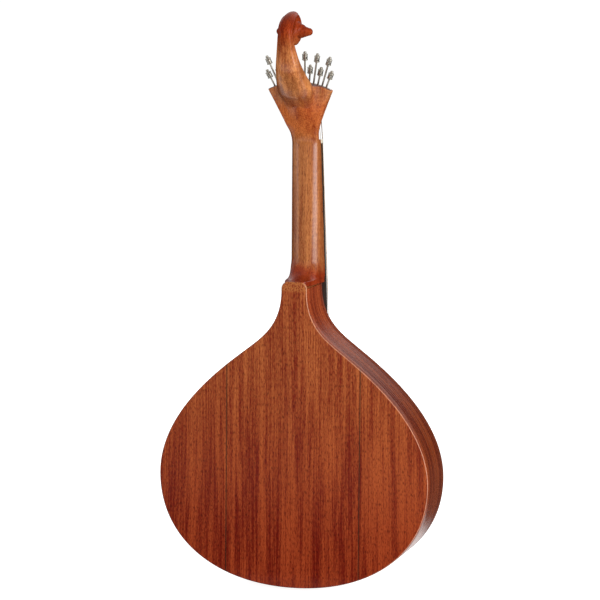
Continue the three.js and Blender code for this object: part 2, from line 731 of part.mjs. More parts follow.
function neck() {
  const pocket = fanSector(FAN_INNER_RADIUS - GLUE, FAN_RADIUS + OVERRUN,
    radians(FAN_HALF_ANGLE_DEGREES + FAN_GAP_DEGREES), -OVERRUN, CASE_HALF_DEPTH + GLUE, FAN_FRAME);
  return neckShaft()
    .intersect(rimRoom())
    .add(stem())
    .subtract(faceRoom())
    .subtract(pocket)
    .add(voluteTurn(0, VOLUTE_SPLIT_DEGREES, 18))
    .add(voluteTurn(VOLUTE_SPLIT_DEGREES - VOLUTE_WEB_STEP, VOLUTE_END_DEGREES, 11))
    .add(voluteWeb())
    .add(scrollEye());
}

// Nut, saddle, bridge and the rests of the strings

function courseX(index, courseSpacing, pairSpacing) {
  const course = Math.floor(index / 2) - (STRING_COUNT / 2 - 1) / 2;
  const member = (index % 2) - 1 / 2;
  return course * courseSpacing + member * pairSpacing;
}

const NUT_STRING_DEPTH = faceDepth(NUT_HEIGHT) + BOARD_CROWN + NUT_LIFT;
const SADDLE_STRING_DEPTH = faceDepth(SADDLE_Z) + BOARD_CROWN + SADDLE_LIFT;
const NUT_MIDDLE = NUT_HEIGHT + GLUE + NUT_THICKNESS / 2;

// Cuts a seat for each string into the top of a bar that the strings cross
function notched(bar, z, depth, courseSpacing, pairSpacing) {
  return STRING_DIAMETERS.reduce((cut, diameter, i) => {
    const floor = diameter / 2 + RUNNING;
    const seat = boxAt(diameter + 2 * RUNNING, NOTCH_OPENING, OVERRUN,
      [courseX(i, courseSpacing, pairSpacing), -depth + floor - NOTCH_OPENING / 2, z]);
    return cut.subtract(seat);
  }, bar);
}

function nut() {
  const [low, high] = [NUT_HEIGHT + GLUE, NUT_HEIGHT + NUT_THICKNESS];
  const floor = (z) => faceDepth(z) - BOARD_THICKNESS;
  const bar = across([
    [floor(low), low],
    [floor(high), high],
    [NUT_STRING_DEPTH - NUT_SLOPE, high],
    [NUT_STRING_DEPTH, low],
  ], NUT_HALF_WIDTH);
  return notched(bar, NUT_MIDDLE, NUT_STRING_DEPTH, NUT_COURSE_SPACING, NUT_PAIR_SPACING);
}

function saddle() {
  const bar = boxAt(SADDLE_WIDTH, SADDLE_HEIGHT, SADDLE_THICKNESS,
    [0, -SADDLE_STRING_DEPTH + SADDLE_HEIGHT / 2, SADDLE_Z]);
  return notched(bar, SADDLE_Z, SADDLE_STRING_DEPTH, SADDLE_COURSE_SPACING, SADDLE_PAIR_SPACING);
}

function bridge() {
  const top = SADDLE_STRING_DEPTH - SADDLE_HEIGHT - GLUE;
  const half = BRIDGE_WIDTH / 2;
  const shoulder = SADDLE_WIDTH / 2 + BRIDGE_SHOULDER;
  const ring = (z) => {
    const floor = frontDepth(z) + GLUE;
    const wing = lerp(floor, top, BRIDGE_WING_SHARE);
    return [[-half, floor], [half, floor], [half, wing], [shoulder, top], [-shoulder, top],
      [-half, wing]].map(([x, depth]) => at(x, depth, z));
  };
  const [low, high] = [SADDLE_Z - BRIDGE_THICKNESS / 2, SADDLE_Z + BRIDGE_THICKNESS / 2];
  const crest = BRIDGE_CREST_SHARE * BRIDGE_THICKNESS / 2;
  const taper = across([
    [frontDepth(low), low],
    [frontDepth(high), high],
    [top, SADDLE_Z + crest],
    [top, SADDLE_Z - crest],
  ], BRIDGE_WIDTH);
  const arch = new THREE.CylinderGeometry(1, 1, 2 * OVERRUN, 24);
  arch.rotateX(Math.PI / 2);
  arch.scale(half - BRIDGE_FOOT, BRIDGE_ARCH, 1);
  arch.translate(0, -frontDepth(SADDLE_Z), SADDLE_Z);
  return loft([ring(low), ring(high)]).intersect(taper).subtract(solidOf(arch));
}

const REST_TOP = TAIL_DEPTH + GLUE + END_REST_HEIGHT;

function endRest() {
  const low = -END_REST_OVERHANG;
  return across([
    [frontDepth(low) + GLUE, low],
    [frontDepth(END_REST_LENGTH) + GLUE, END_REST_LENGTH],
    [REST_TOP, END_REST_LENGTH],
    [REST_TOP, low + END_REST_CHAMFER],
    [REST_TOP - END_REST_CHAMFER, low],
  ], END_REST_WIDTH / 2);
}

const TAILPIECE_OUTER = -GLUE - TAILPIECE_THICKNESS;
const PIN_DEPTH = TAIL_DEPTH - TAILPIECE_TOP_MARGIN - PIN_MARGIN;

function pinDepth(index) {
  return PIN_DEPTH - (index % 2) * PIN_ROW_SPACING;
}

// How far the curved tail has risen at a distance from the middle
function tailRise(x) {
  const lower = outline(0).filter((p) => p.x >= 0 && p.y < WIDEST_HEIGHT);
  const outer = lower.findIndex((p) => p.x > Math.abs(x));
  const [from, to] = [lower[outer - 1], lower[outer]];
  return lerp(from.y, to.y, (Math.abs(x) - from.x) / (to.x - from.x));
}

function tailpiece() {
  const top = TAIL_DEPTH - TAILPIECE_TOP_MARGIN;
  const window = boxAt(TAILPIECE_WIDTH, TAILPIECE_LENGTH, 2 * OVERRUN,
    [0, -top + TAILPIECE_LENGTH / 2, 0]);
  const plate = bodyPrism(TAILPIECE_OUTER).subtract(bodyPrism(-GLUE)).intersect(window);
  return STRING_DIAMETERS.reduce((piece, diameter, i) => {
    const profile = [
      [0, -TAILPIECE_THICKNESS / 2],
      [PIN_RADIUS, -TAILPIECE_THICKNESS / 2],
      [PIN_RADIUS, PIN_LENGTH - PIN_HEAD],
      [PIN_RADIUS + PIN_HEAD / 2, PIN_LENGTH - PIN_HEAD],
      [PIN_RADIUS, PIN_LENGTH],
      [0, PIN_LENGTH],
    ].map(([radius, height]) => new THREE.Vector2(radius, height));
    const pin = new THREE.LatheGeometry(profile, 6);
    const x = courseX(i, SADDLE_COURSE_SPACING, SADDLE_PAIR_SPACING);
    pin.rotateX(-Math.PI / 2);
    pin.translate(x, -pinDepth(i), TAILPIECE_OUTER + tailRise(x));
    return piece.add(solidOf(pin));
  }, plate);
}

// Fan tuner, in its own frame: the screws lie in the plane y = 0 and spread from its origin

// How many screws lie between this one and the middle of the fan
function fromMiddle(index) {
  return Math.abs(index - (STRING_COUNT - 1) / 2) - 1 / 2;
}

function screwAngle(index) {
  const side = Math.sign(index - (STRING_COUNT - 1) / 2);
  return side * radians(MIDDLE_SCREW_DEGREES + SCREW_STEP_DEGREES * fromMiddle(index));
}

function fanSector(inner, outer, halfAngle, near, far, frame = new THREE.Matrix4()) {
  const ring = (y) => {
    const steps = 14;
    const points = [];
    for (const [radius, way] of [[outer, 1], [inner, -1]]) {
      for (let i = 0; i <= steps; i += 1) {
        const angle = way * lerp(-halfAngle, halfAngle, i / steps);
        points.push(new THREE.Vector3(radius * Math.sin(angle), y, radius * Math.cos(angle))
          .applyMatrix4(frame));
      }
    }
    return points;
  };
  return loft([ring(near), ring(far)]);
}

function radialHole(radius, from, to, angle) {
  const sides = 8;
  const around = radius / Math.cos(Math.PI / sides);
  const hole = new THREE.CylinderGeometry(around, around, to - from, sides);
  hole.rotateX(Math.PI / 2);
  hole.translate(0, 0, (from + to) / 2);
  hole.rotateY(angle);
  return solidOf(hole);
}

function tunerPlate() {
  const halfAngle = radians(FAN_HALF_ANGLE_DEGREES);
  const cavityAngle = screwAngle(STRING_COUNT - 1) + radians(CAVITY_MARGIN_DEGREES);
  const [low, high] = [FAN_INNER_RADIUS + CASE_WALL, FAN_RADIUS - CASE_WALL];
  let casing = fanSector(FAN_INNER_RADIUS, FAN_RADIUS, halfAngle, -CASE_FRONT, CASE_HALF_DEPTH)
    .subtract(fanSector(low, high, cavityAngle, -CASE_HALF_DEPTH, CASE_HALF_DEPTH - CASE_PLATE));
  for (let i = 0; i < STRING_COUNT; i += 1) {
    const angle = screwAngle(i);
    const slot = new THREE.BoxGeometry(SLOT_WIDTH, 2 * CASE_PLATE,
      SLOT_OUTER_RADIUS - SLOT_INNER_RADIUS);
    slot.translate(0, CASE_PLATE / 2 - CASE_FRONT, (SLOT_OUTER_RADIUS + SLOT_INNER_RADIUS) / 2);
    slot.rotateY(angle);
    casing = casing
      .subtract(solidOf(slot))
      .subtract(radialHole(SHAFT_RADIUS + RUNNING, high - CASE_WALL, FAN_RADIUS + CASE_WALL, angle))
      .subtract(radialHole(THREAD_RADIUS + RUNNING, FAN_INNER_RADIUS - CASE_WALL, low + CASE_WALL,
        angle));
  }
  return casing;
}

function tunerScrew(index) {
  const long = fromMiddle(index) % 2 === 0;
  const low = (long ? LONG_KNOB_RADIUS : SHORT_KNOB_RADIUS) - KNOB_LENGTH / 2;
  const high = low + KNOB_LENGTH;
  const knob = KNOB_DIAMETER / 2;
  const button = KNOB_BUTTON_DIAMETER / 2;
  const collarTop = FAN_RADIUS - CASE_WALL - RUNNING;
  const profile = [
    [0, FAN_INNER_RADIUS],
    [THREAD_RADIUS, FAN_INNER_RADIUS],
    [THREAD_RADIUS, collarTop - COLLAR_LENGTH],
    [COLLAR_RADIUS, collarTop - COLLAR_LENGTH],
    [COLLAR_RADIUS, collarTop],
    [SHAFT_RADIUS, collarTop],
    [SHAFT_RADIUS, low],
    [knob, low + KNOB_CHAMFER],
    [knob, high - KNOB_CHAMFER],
    [button, high],
    [button, high + KNOB_BUTTON_LENGTH - KNOB_CHAMFER],
    [0, high + KNOB_BUTTON_LENGTH],
  ].map(([radius, height]) => new THREE.Vector2(radius, height));
  const screw = new THREE.LatheGeometry(profile, 10);
  screw.rotateX(Math.PI / 2);
  return solidOf(screw);
}

function stringHook() {
  const reach = CASE_FRONT + HOOK_REACH;
  const block = boxAt(BLOCK_WIDTH, BLOCK_DEPTH, BLOCK_LENGTH, [0, 0, 0])
    .subtract(radialHole(THREAD_RADIUS + RUNNING, -BLOCK_LENGTH, BLOCK_LENGTH, 0));
  const root = BLOCK_DEPTH / 2 - HOOK_SINK;
  const post = boxAt(HOOK_POST_WIDTH, reach - root, HOOK_POST_LENGTH, [0, -(reach + root) / 2, 0]);
  const finger = boxAt(HOOK_POST_WIDTH, HOOK_FINGER_THICKNESS, HOOK_FINGER_LENGTH,
    [0, -reach + HOOK_FINGER_THICKNESS / 2, HOOK_FINGER_LENGTH / 2]);
  return block.add(post).add(finger);
}

// A string's route from its hook, over the nut, the saddle and the end rest, to its pin
function stringRoute(index, hookEnd) {
  const radius = STRING_DIAMETERS[index] / 2;
  const seat = radius + RUNNING;
  const miter = seat * Math.tan(Math.PI / 8);
  const nutX = courseX(index, NUT_COURSE_SPACING, NUT_PAIR_SPACING);
  const tailX = courseX(index, SADDLE_COURSE_SPACING, SADDLE_PAIR_SPACING);
  const restLow = -END_REST_OVERHANG;
  const pinEnd = pinDepth(index) + PIN_RADIUS + RUNNING;
  return [
    hookEnd,
    at(nutX, NUT_STRING_DEPTH, NUT_HEIGHT + NUT_THICKNESS),
    at(tailX, SADDLE_STRING_DEPTH, SADDLE_Z),
    at(tailX, REST_TOP + seat, END_REST_LENGTH),
    at(tailX, REST_TOP + seat, restLow + END_REST_CHAMFER - miter),
    at(tailX, REST_TOP - END_REST_CHAMFER + miter, restLow - seat),
    at(tailX, pinEnd, TAILPIECE_OUTER + tailRise(tailX) - PIN_LENGTH / 2),
  ];
}

function tube(points, radius) {
  const sides = 6;
  const lateral = new THREE.Vector3(1, 0, 0);
  const runs = points.slice(1).map((p, i) => p.clone().sub(points[i]).normalize());
  const rings = points.map((p, i) => {
    const run = runs[Math.max(i - 1, 0)].clone().add(runs[Math.min(i, runs.length - 1)]).normalize();
    const side = lateral.clone().addScaledVector(run, -run.x).normalize();
    const up = run.clone().cross(side);
    return Array.from({ length: sides }, (_, corner) => {
      const turn = (2 * Math.PI * corner) / sides;
      return p.clone()
        .addScaledVector(side, radius * Math.cos(turn))
        .addScaledVector(up, radius * Math.sin(turn));
    });
  });
  return loft(rings);
}

// Assembly

const guitar = new THREE.Group();

function place(parent, name, solid, material) {
  const mesh = new THREE.Mesh(geometryOf(solid), material);
  mesh.name = name;
  parent.add(mesh);
  return mesh;
}

for (const [name, board] of Object.entries(backBoards())) {
  place(guitar, name, board, wood('back'));
}
place(guitar, 'bass_rib', ribHalf(-1), wood('rib'));
place(guitar, 'treble_rib', ribHalf(1), wood('rib'));
place(guitar, 'neck_block', neckBlock(), wood('inner'));
place(guitar, 'tail_block', tailBlock(0).intersect(insideLayer(-OVERRUN, BODY_LENGTH)), wood('inner'));
BACK_BRACE_SHARES.forEach((share, i) => {
  const bar = brace(share * BODY_LENGTH, () => BACK_THICKNESS + GLUE, 1);
  place(guitar, `back_brace_${i + 1}`, bar, wood('inner'));
});
const soundboardBraces = [TAIL_BRACE_SHARE * BODY_LENGTH,
  SOUNDHOLE_Z - ROSETTE_OUTER_RADIUS - BRACE_BELOW_ROSETTE - BRACE_WIDTH / 2,
  SHOULDER_BRACE_SHARE * BODY_LENGTH];
soundboardBraces.forEach((height, i) => {
  const under = (z) => frontDepth(z) - SOUNDBOARD_THICKNESS - GLUE;
  place(guitar, `soundboard_brace_${i + 1}`, brace(height, under, -1), wood('inner'));
});
place(guitar, 'soundboard', soundboard(), wood('spruce'));
place(guitar, 'rosette', rosette(), wood('inlay'));
place(guitar, 'neck', neck(), wood('neck'));
place(guitar, 'fingerboard', fingerboard(), wood('board'));
place(guitar, 'nut', nut(), wood('bone'));
place(guitar, 'bridge', bridge(), wood('bridge'));
place(guitar, 'saddle', saddle(), wood('bone'));
place(guitar, 'end_rest', endRest(), wood('bone'));
place(guitar, 'tailpiece', tailpiece(), metal(0xb9b3a4, 0.3));

const fan = new THREE.Group();
fan.applyMatrix4(FAN_FRAME);
guitar.add(fan);
place(fan, 'tuner_plate', tunerPlate(), metal(0xb9b3a4, 0.35));

for (let i = 0; i < STRING_COUNT; i += 1) {
  const angle = screwAngle(i);
  const screw = place(fan, `tuner_screw_${i + 1}`, tunerScrew(i), metal(0xc3bdae, 0.25));
  screw.rotation.y = angle;
  const hook = place(fan, `string_hook_${i + 1}`, stringHook(), metal(0xb9b3a4, 0.3));
  hook.position.set(HOOK_REST_RADIUS * Math.sin(angle), 0, HOOK_REST_RADIUS * Math.cos(angle));
  hook.rotation.y = angle;
  const post = HOOK_REST_RADIUS - HOOK_POST_LENGTH / 2 - RUNNING;
  const height = CASE_FRONT + (HOOK_REACH - HOOK_FINGER_THICKNESS) / 2;
  const end = new THREE.Vector3(post * Math.sin(angle), -height, post * Math.cos(angle))
    .applyMatrix4(FAN_FRAME);
  const string = tube(stringRoute(i, end), STRING_DIAMETERS[i] / 2);
  place(guitar, `string_${i + 1}`, string, metal(0xcfcac0, 0.25));
}

// The origin is under the middle of the whole instrument, on the level of its lowest point
const instrument = new THREE.Group();
instrument.add(guitar);
const extent = new THREE.Box3().setFromObject(instrument);
const middle = extent.getCenter(new THREE.Vector3());
guitar.position.set(-middle.x, -middle.y, -extent.min.z);

export default instrument;
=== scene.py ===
"""A twelve-string Portuguese guitar of the Lisbon shape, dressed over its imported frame."""

import math

import bmesh
import bpy
from bpy.props import FloatProperty, FloatVectorProperty, IntProperty, PointerProperty
from mathutils import Matrix, Vector


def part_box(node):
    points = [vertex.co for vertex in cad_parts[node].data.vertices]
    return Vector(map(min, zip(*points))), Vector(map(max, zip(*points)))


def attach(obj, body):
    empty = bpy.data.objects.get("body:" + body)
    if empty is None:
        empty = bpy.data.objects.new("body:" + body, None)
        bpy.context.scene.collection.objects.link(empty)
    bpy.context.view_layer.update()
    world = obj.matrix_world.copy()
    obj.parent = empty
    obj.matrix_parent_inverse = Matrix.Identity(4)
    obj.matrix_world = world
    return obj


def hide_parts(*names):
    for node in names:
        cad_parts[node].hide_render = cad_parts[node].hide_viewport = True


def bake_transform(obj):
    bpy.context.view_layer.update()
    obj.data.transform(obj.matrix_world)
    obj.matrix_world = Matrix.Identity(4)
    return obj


bl_info = {
    "name": "Portuguese guitar",
    "version": (1, 0, 0),
    "blender": (4, 5, 0),
    "location": "3D View > Sidebar > Guitar",
    "description": "Builds the visible pieces and finishes of a Portuguese guitar over its frame",
    "category": "Add Mesh",
}

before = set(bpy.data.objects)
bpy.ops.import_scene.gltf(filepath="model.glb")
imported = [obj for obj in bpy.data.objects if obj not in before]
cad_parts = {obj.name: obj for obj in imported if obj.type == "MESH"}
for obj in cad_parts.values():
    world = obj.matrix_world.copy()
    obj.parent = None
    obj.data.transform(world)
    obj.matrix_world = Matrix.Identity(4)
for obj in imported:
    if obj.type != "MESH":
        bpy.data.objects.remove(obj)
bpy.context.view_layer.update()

BACK_LOW, BACK_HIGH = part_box("back_centre_panel")
BACK_Y = BACK_HIGH.y
TAIL_Z = BACK_LOW.z
BODY_LENGTH = BACK_HIGH.z - BACK_LOW.z
HALF_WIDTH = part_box("treble_rib")[1].x
SEAM_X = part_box("back_left_panel")[0].x
STRING_COUNT = 12
IMAGE_WIDTH = 600
MM = 0.001


# Sizes and colours that a user would change

def length(label, about, default):
    return FloatProperty(name=label, description=about, default=default, min=0.0, precision=5, unit="LENGTH")


def angle(label, about, default):
    return FloatProperty(name=label, description=about, default=math.radians(default), unit="ROTATION")


def power(label, about, default):
    return FloatProperty(name=label, description=about, default=default, min=0.0, unit="POWER")


def colour(label, about, red, green, blue):
    return FloatVectorProperty(name=label, description=about, size=4, subtype="COLOR", min=0.0, max=1.0,
                               default=(red, green, blue, 1.0))


class GuitarBodySizes(bpy.types.PropertyGroup):
    """The pear-shaped body"""
    tail_depth: length("Tail depth", "Depth of the body at its tail", 0.095)
    neck_depth: length("Neck depth", "Depth of the body where the neck joins", 0.075)
    widest: length("Widest height", "Height of the widest place over the tail", 0.147)
    shoulder_half: length("Shoulder half width", "Half the width at the shoulders", 0.067)
    shoulder_height: length("Shoulder height", "Height of the shoulders over the tail", 0.3186)
    shoulder_slope: angle("Shoulder slope", "Slope of the outline at the shoulders", 37.5)
    tab_half: length("Tab half width", "Half the width of the tab behind the heel", 0.0176)
    tab_height: length("Tab height", "Height where the tab's sides end", 0.401)
    tab_corner: length("Tab corner", "Radius of the tab's corners", 0.009)
    back_thickness: length("Back thickness", "Thickness of the back boards", 0.0028)
    edge_round: length("Edge round", "Radius of the back's outer edge", 0.0022)
    rib_thickness: length("Rib thickness", "Thickness of the bent sides", 0.0022)
    top_thickness: length("Soundboard thickness", "Thickness of the soundboard", 0.0028)
    glue: length("Glue line", "Gap between glued pieces", 0.0003)
    hole_radius: length("Soundhole radius", "Radius of the soundhole", 0.038)
    rosette_inner: length("Rosette inner radius", "Inner radius of the inlaid ring", 0.041)
    rosette_outer: length("Rosette outer radius", "Outer radius of the inlaid ring", 0.050)
    rosette_thickness: length("Rosette thickness", "Thickness of the inlaid ring", 0.0009)
    hole_below_board: length("Soundhole below board", "From the fingerboard's end to the soundhole", 0.002)
    neck_block: length("Neck block length", "Length of the block behind the heel", 0.055)
    tail_block: length("Tail block width", "Width of the block at the tail", 0.060)
    lining_width: length("Lining width", "Width of the kerfed strips inside the ribs", 0.005)
    lining_height: length("Lining height", "Height of the kerfed strips inside the ribs", 0.009)


class GuitarNeckSizes(bpy.types.PropertyGroup):
    """The neck's shaft and the fingerboard"""
    length: length("Neck length", "From the body to the nut", 0.180)
    fall: angle("Neck angle", "How far the neck leans to the back", 5)
    nut_half: length("Nut half width", "Half the width at the nut", 0.0191)
    joint_half: length("Joint half width", "Half the width at the body", 0.022)
    board: length("Fingerboard thickness", "Thickness of the fingerboard", 0.006)
    board_length: length("Fingerboard length", "Length of the fingerboard", 0.324)
    crown: length("Fingerboard crown", "Rise of the fingerboard's middle", 0.0012)
    scale: length("String length", "Sounding length of the strings", 0.445)
    frets: IntProperty(name="Frets", description="Number of frets", default=22, min=1)
    fret_width: length("Fret width", "Width of a fret", 0.002)
    fret_height: length("Fret height", "Height of a fret", 0.001)
    fret_inset: length("Fret inset", "How far a fret ends inside the board's edge", 0.0004)
    at_nut: length("Thickness at nut", "Thickness of the neck at the nut", 0.0205)
    at_joint: length("Thickness at joint", "Thickness of the neck at the body", 0.0335)
    heel_seat: length("Heel seat", "How far the heel reaches under the tab's end", 0.007)
    heel_rise: length("Heel rise", "Height of the heel's curve", 0.025)
    side: length("Side height", "Height of the shaft's straight sides", 0.005)
    nut: length("Nut thickness", "Thickness of the nut", 0.005)


class GuitarHeadSizes(bpy.types.PropertyGroup):
    """The carved fan head and scroll"""
    rise: length("Head rise", "From the nut to the scroll's eye", 0.150)
    sweep: length("Head sweep", "How far the head swings to the back", 0.0945)
    edge_behind: length("Edge depth", "Distance from the screws back to the head's edge", 0.007)
    edge_rise: length("Edge rise", "Length over which the edge settles", 0.028)
    lean: angle("Head lean", "Lean of the fan's face", 16.8)
    flare_start: length("Flare start", "Height over the nut where the fan opens", 0.013)
    flare_ease: length("Flare ease", "Softness of the fan's opening", 0.0125)
    flare_slope: angle("Flare slope", "Slope of the fan's sides", 26)
    stem_thickness: length("Stem thickness", "Thickness at the top of the stem", 0.011)
    stem_half: length("Stem half width", "Half the width at the top of the stem", 0.010)
    root_spread: length("Root spread", "How far the stem's root spreads", 0.0205)
    swell: length("Stem swell", "How far the stem's middle swells to the back", 0.009)
    flute: length("Flute depth", "Depth of the line cut along the stem's edges", 0.0009)
    ridge_sink: length("Ridge sink", "How far the fan's ridge sinks into the stem", 0.005)
    volute_back: length("Scroll back radius", "Radius where the stem turns into the scroll", 0.049)
    volute: length("Scroll radius", "Radius of the scroll's turn", 0.0236)
    closing: length("Scroll closing", "How far the turn draws in", 0.012)
    band: length("Scroll band", "Thickness of the scroll's band", 0.008)
    crest_half: length("Scroll half width", "Half the width at the scroll's crest", 0.0062)
    web_half: length("Web half width", "Half the thickness of the scroll's web", 0.005)
    rim_cover: length("Rim cover", "How far the wood rises over the casing", 0.0036)
    eye_length: length("Eye length", "Length of the scroll's eye", 0.0495)
    eye_shoulder: length("Eye shoulder", "Half the width of the last turn", 0.015)
    eye_base: length("Eye base radius", "Radius at the eye's base", 0.0085)
    eye_tip: length("Eye tip radius", "Radius at the eye's tips", 0.0052)
    voxel: length("Carving grain", "Size of the facets that the carving is drawn with", 0.0008)


class GuitarTunerSizes(bpy.types.PropertyGroup):
    """The fan tuner"""
    apex_below: length("Apex below nut", "How far the fan's point lies below the nut", 0.0025)
    apex_depth: length("Apex depth", "Depth of the fan's point over the back", 0.0479)
    radius: length("Fan radius", "Radius of the casing", 0.088)
    inner: length("Fan inner radius", "Radius where the casing starts", 0.043)
    half_angle: angle("Fan half angle", "Half the casing's opening", 26.2)
    gap: angle("Fan gap", "Gap beside the casing", 0.35)
    step: angle("Screw step", "Angle between screws", 3.78)
    middle: angle("Middle screw", "Angle of the first screw from the middle", 4.1)
    half_depth: length("Casing half depth", "Half the depth of the casing", 0.004)
    wall: length("Casing wall", "Thickness of the casing's walls", 0.003)
    plate: length("Casing plate", "Thickness of the casing's plates", 0.0012)
    thread: length("Thread radius", "Radius of the screw's thread", 0.0008)
    thread_pitch: length("Thread pitch", "Rise of one turn of the thread", 0.0005)
    shaft: length("Shaft radius", "Radius of the screw's shaft", 0.0012)
    collar: length("Collar radius", "Radius of the collar inside the casing", 0.0019)
    collar_length: length("Collar length", "Length of the collar", 0.0018)
    long_knob: length("Long knob radius", "Distance of the outer knobs from the fan's point", 0.1245)
    short_knob: length("Short knob radius", "Distance of the inner knobs from the fan's point", 0.107)
    knob: length("Knob diameter", "Diameter of a knob", 0.0078)
    knob_length: length("Knob length", "Length of a knob", 0.0083)
    button: length("Button diameter", "Diameter of the button on a knob", 0.0042)
    button_length: length("Button length", "Length of the button on a knob", 0.0038)
    flutes: IntProperty(name="Flutes", description="Flutes of a knob's milling", default=22, min=6)
    flute_depth: length("Flute depth", "Depth of the milling", 0.00038)


class GuitarStringSizes(bpy.types.PropertyGroup):
    """The strings and what they rest on"""
    nut_course: length("Nut course spacing", "Between courses at the nut", 0.0068)
    nut_pair: length("Nut pair spacing", "Between the strings of a course at the nut", 0.0025)
    saddle_course: length("Saddle course spacing", "Between courses at the saddle", 0.010)
    saddle_pair: length("Saddle pair spacing", "Between the strings of a course at the saddle", 0.003)
    nut_lift: length("Nut lift", "Height of the strings over the board at the nut", 0.0017)
    saddle_lift: length("Saddle lift", "Height of the strings over the board's plane at the saddle", 0.0036)
    rest_height: length("Rest height", "Height of the bone rest at the tail", 0.005)
    rest_length: length("Rest length", "Length of the bone rest", 0.006)
    rest_overhang: length("Rest overhang", "How far the rest passes the tail", 0.0016)
    rest_chamfer: length("Rest chamfer", "Chamfer of the rest's outer edge", 0.0012)
    tailpiece_thickness: length("Tailpiece thickness", "Thickness of the tailpiece", 0.0015)
    pin_depth: length("Pin depth", "From the soundboard to the first row of pins", 0.012)
    pin_rows: length("Pin rows", "Between the two rows of pins", 0.007)
    pin_radius: length("Pin radius", "Radius of a pin", 0.001)
    pin_length: length("Pin length", "Length of a pin", 0.0046)
    hook_radius: length("Hook radius", "Distance of the hooks from the fan's point", 0.060)
    hook_front: length("Hook front", "How far a string lies before the screws", 0.0062)
    post: length("Hook post", "Length of a hook's post", 0.0016)


class GuitarFinishes(bpy.types.PropertyGroup):
    """Colours of the woods and metals"""
    back_pale: colour("Back, pale", "Golden ribbons of the back", 0.425, 0.105, 0.028)
    back_deep: colour("Back, deep", "Red ribbons of the back", 0.165, 0.0135, 0.005)
    # The next colour is partly a painted shade: it darkens the lower back as well as reddening it
    tail_toner: colour("Tail toner", "Red toner towards the tail", 0.76, 0.30, 0.25)
    # The next colour is a painted highlight: a pale line along the back's rounded edge, strongest on the bass side
    # where the key light would glint
    worn_edge: colour("Worn edge", "Thin varnish on the back's rounded edge", 0.66, 0.37, 0.24)
    rib_pale: colour("Rib, pale", "Pale streaks of the sides", 0.26, 0.054, 0.015)
    rib_deep: colour("Rib, deep", "Deep streaks of the sides", 0.11, 0.0125, 0.0045)
    neck_pale: colour("Neck, pale", "Pale streaks of the neck", 0.48, 0.17, 0.047)
    neck_deep: colour("Neck, deep", "Deep streaks of the neck", 0.22, 0.045, 0.012)
    # The next colour is partly a painted shade, darkest on the heel's treble side, as well as a red toner on the heel
    # and the scroll
    neck_toner: colour("Neck toner", "Red toner on the heel and the scroll", 0.76, 0.29, 0.21)
    edge_dark: colour("Edge dark", "Dark line along the fan's rim", 0.11, 0.03, 0.018)
    pearl: colour("Pearl", "Position dots", 0.80, 0.78, 0.72)
    inlay_pale: colour("Inlay, pale", "Pale pieces of the rosette", 0.62, 0.42, 0.22)
    inlay_deep: colour("Inlay, deep", "Dark pieces of the rosette", 0.035, 0.015, 0.008)
    spruce_pale: colour("Spruce, pale", "Early wood of the soundboard", 0.72, 0.46, 0.22)
    spruce_deep: colour("Spruce, deep", "Late wood of the soundboard", 0.50, 0.27, 0.10)
    ebony_pale: colour("Ebony, pale", "Pale streaks of the fingerboard and bridge", 0.03268, 0.02328, 0.01952)
    ebony: colour("Ebony", "Fingerboard and bridge", 0.022, 0.012, 0.008)
    bone: colour("Bone", "Nut, saddle and end rest", 0.78, 0.70, 0.55)
    nickel: colour("Nickel", "Tuner, screws and tailpiece", 0.47, 0.44, 0.38)
    steel: colour("Steel", "Plain strings and frets", 0.62, 0.61, 0.58)
    bronze: colour("Bronze", "Wound strings", 0.52, 0.33, 0.17)


class GuitarStudio(bpy.types.PropertyGroup):
    """The camera and the lights"""
    distance: length("Camera distance", "From the camera to the point that it looks at", 4.0)
    yaw: angle("Camera yaw", "How far the camera stands to the bass side", 16.09)
    pitch: angle("Camera pitch", "How far the camera looks down", 6.97)
    roll: angle("Camera roll", "Turn of the camera about its view", 0.51)
    aim_side: length("Aim to the side", "How far the camera aims beside the middle", 0.0086)
    aim_rise: length("Aim height", "Height over the tail that the camera aims at", 0.3886)
    focal_pixels: FloatProperty(name="Focal length", description="Focal length in pixels of the picture",
                                default=3029.0)
    key: power("Key light", "Power of the tall light on the right", 76.0)
    fill: power("Fill light", "Power of the soft light on the left", 9.0)
    main: power("Main light", "Power of the broad light over the camera", 100.0)
    front: power("Front light", "Power of the light on the soundboard's side", 60.0)
    ambient: FloatProperty(name="Surroundings", description="Strength of the light from all round", default=0.22,
                           min=0.0, max=1.0, subtype="FACTOR")


class Settings:
    """What the scene's property groups say now: now.body stands for the scene's guitar_body"""
    def __getattr__(self, word):
        return getattr(bpy.context.scene, f"guitar_{word}")


now = Settings()


# Numbers

def mix(start, end, part):
    return start + (end - start) * part


def eased(value, low, high):
    part = min(1.0, max(0.0, (value - low) / (high - low)))
    return part * part * (3 - 2 * part)


def bezier(controls, part):
    """A point of a cubic curve"""
    a, b, c, d = (Vector(p) for p in controls)
    rest = 1 - part
    return a * rest ** 3 + 3 * b * part * rest ** 2 + 3 * c * part ** 2 * rest + d * part ** 3


def at(x, depth, rise):
    """A point from its side, its depth over the back and its height over the tail"""
    return Vector((x, BACK_Y - depth, TAIL_Z + rise))


# Mesh helpers

def ring_edges(bm, points):
    verts = [bm.verts.new(p) for p in points]
    return verts, [bm.edges.new((verts[i - 1], verts[i])) for i in range(len(verts))]


def pull_on(bm, verts, edges, points):
    """Extrudes a ring or a run of edges and puts the new corners on the points"""
    made = bmesh.ops.extrude_edge_only(bm, edges=edges)["geom"]
    fresh = {g for g in made if isinstance(g, bmesh.types.BMVert)}
    drawn = [next(e.other_vert(v) for e in v.link_edges if e.other_vert(v) in fresh) for v in verts]
    for vert, point in zip(drawn, points):
        vert.co = point
    kept = [e for e in made if isinstance(e, bmesh.types.BMEdge) and set(e.verts) <= fresh]
    return drawn, kept


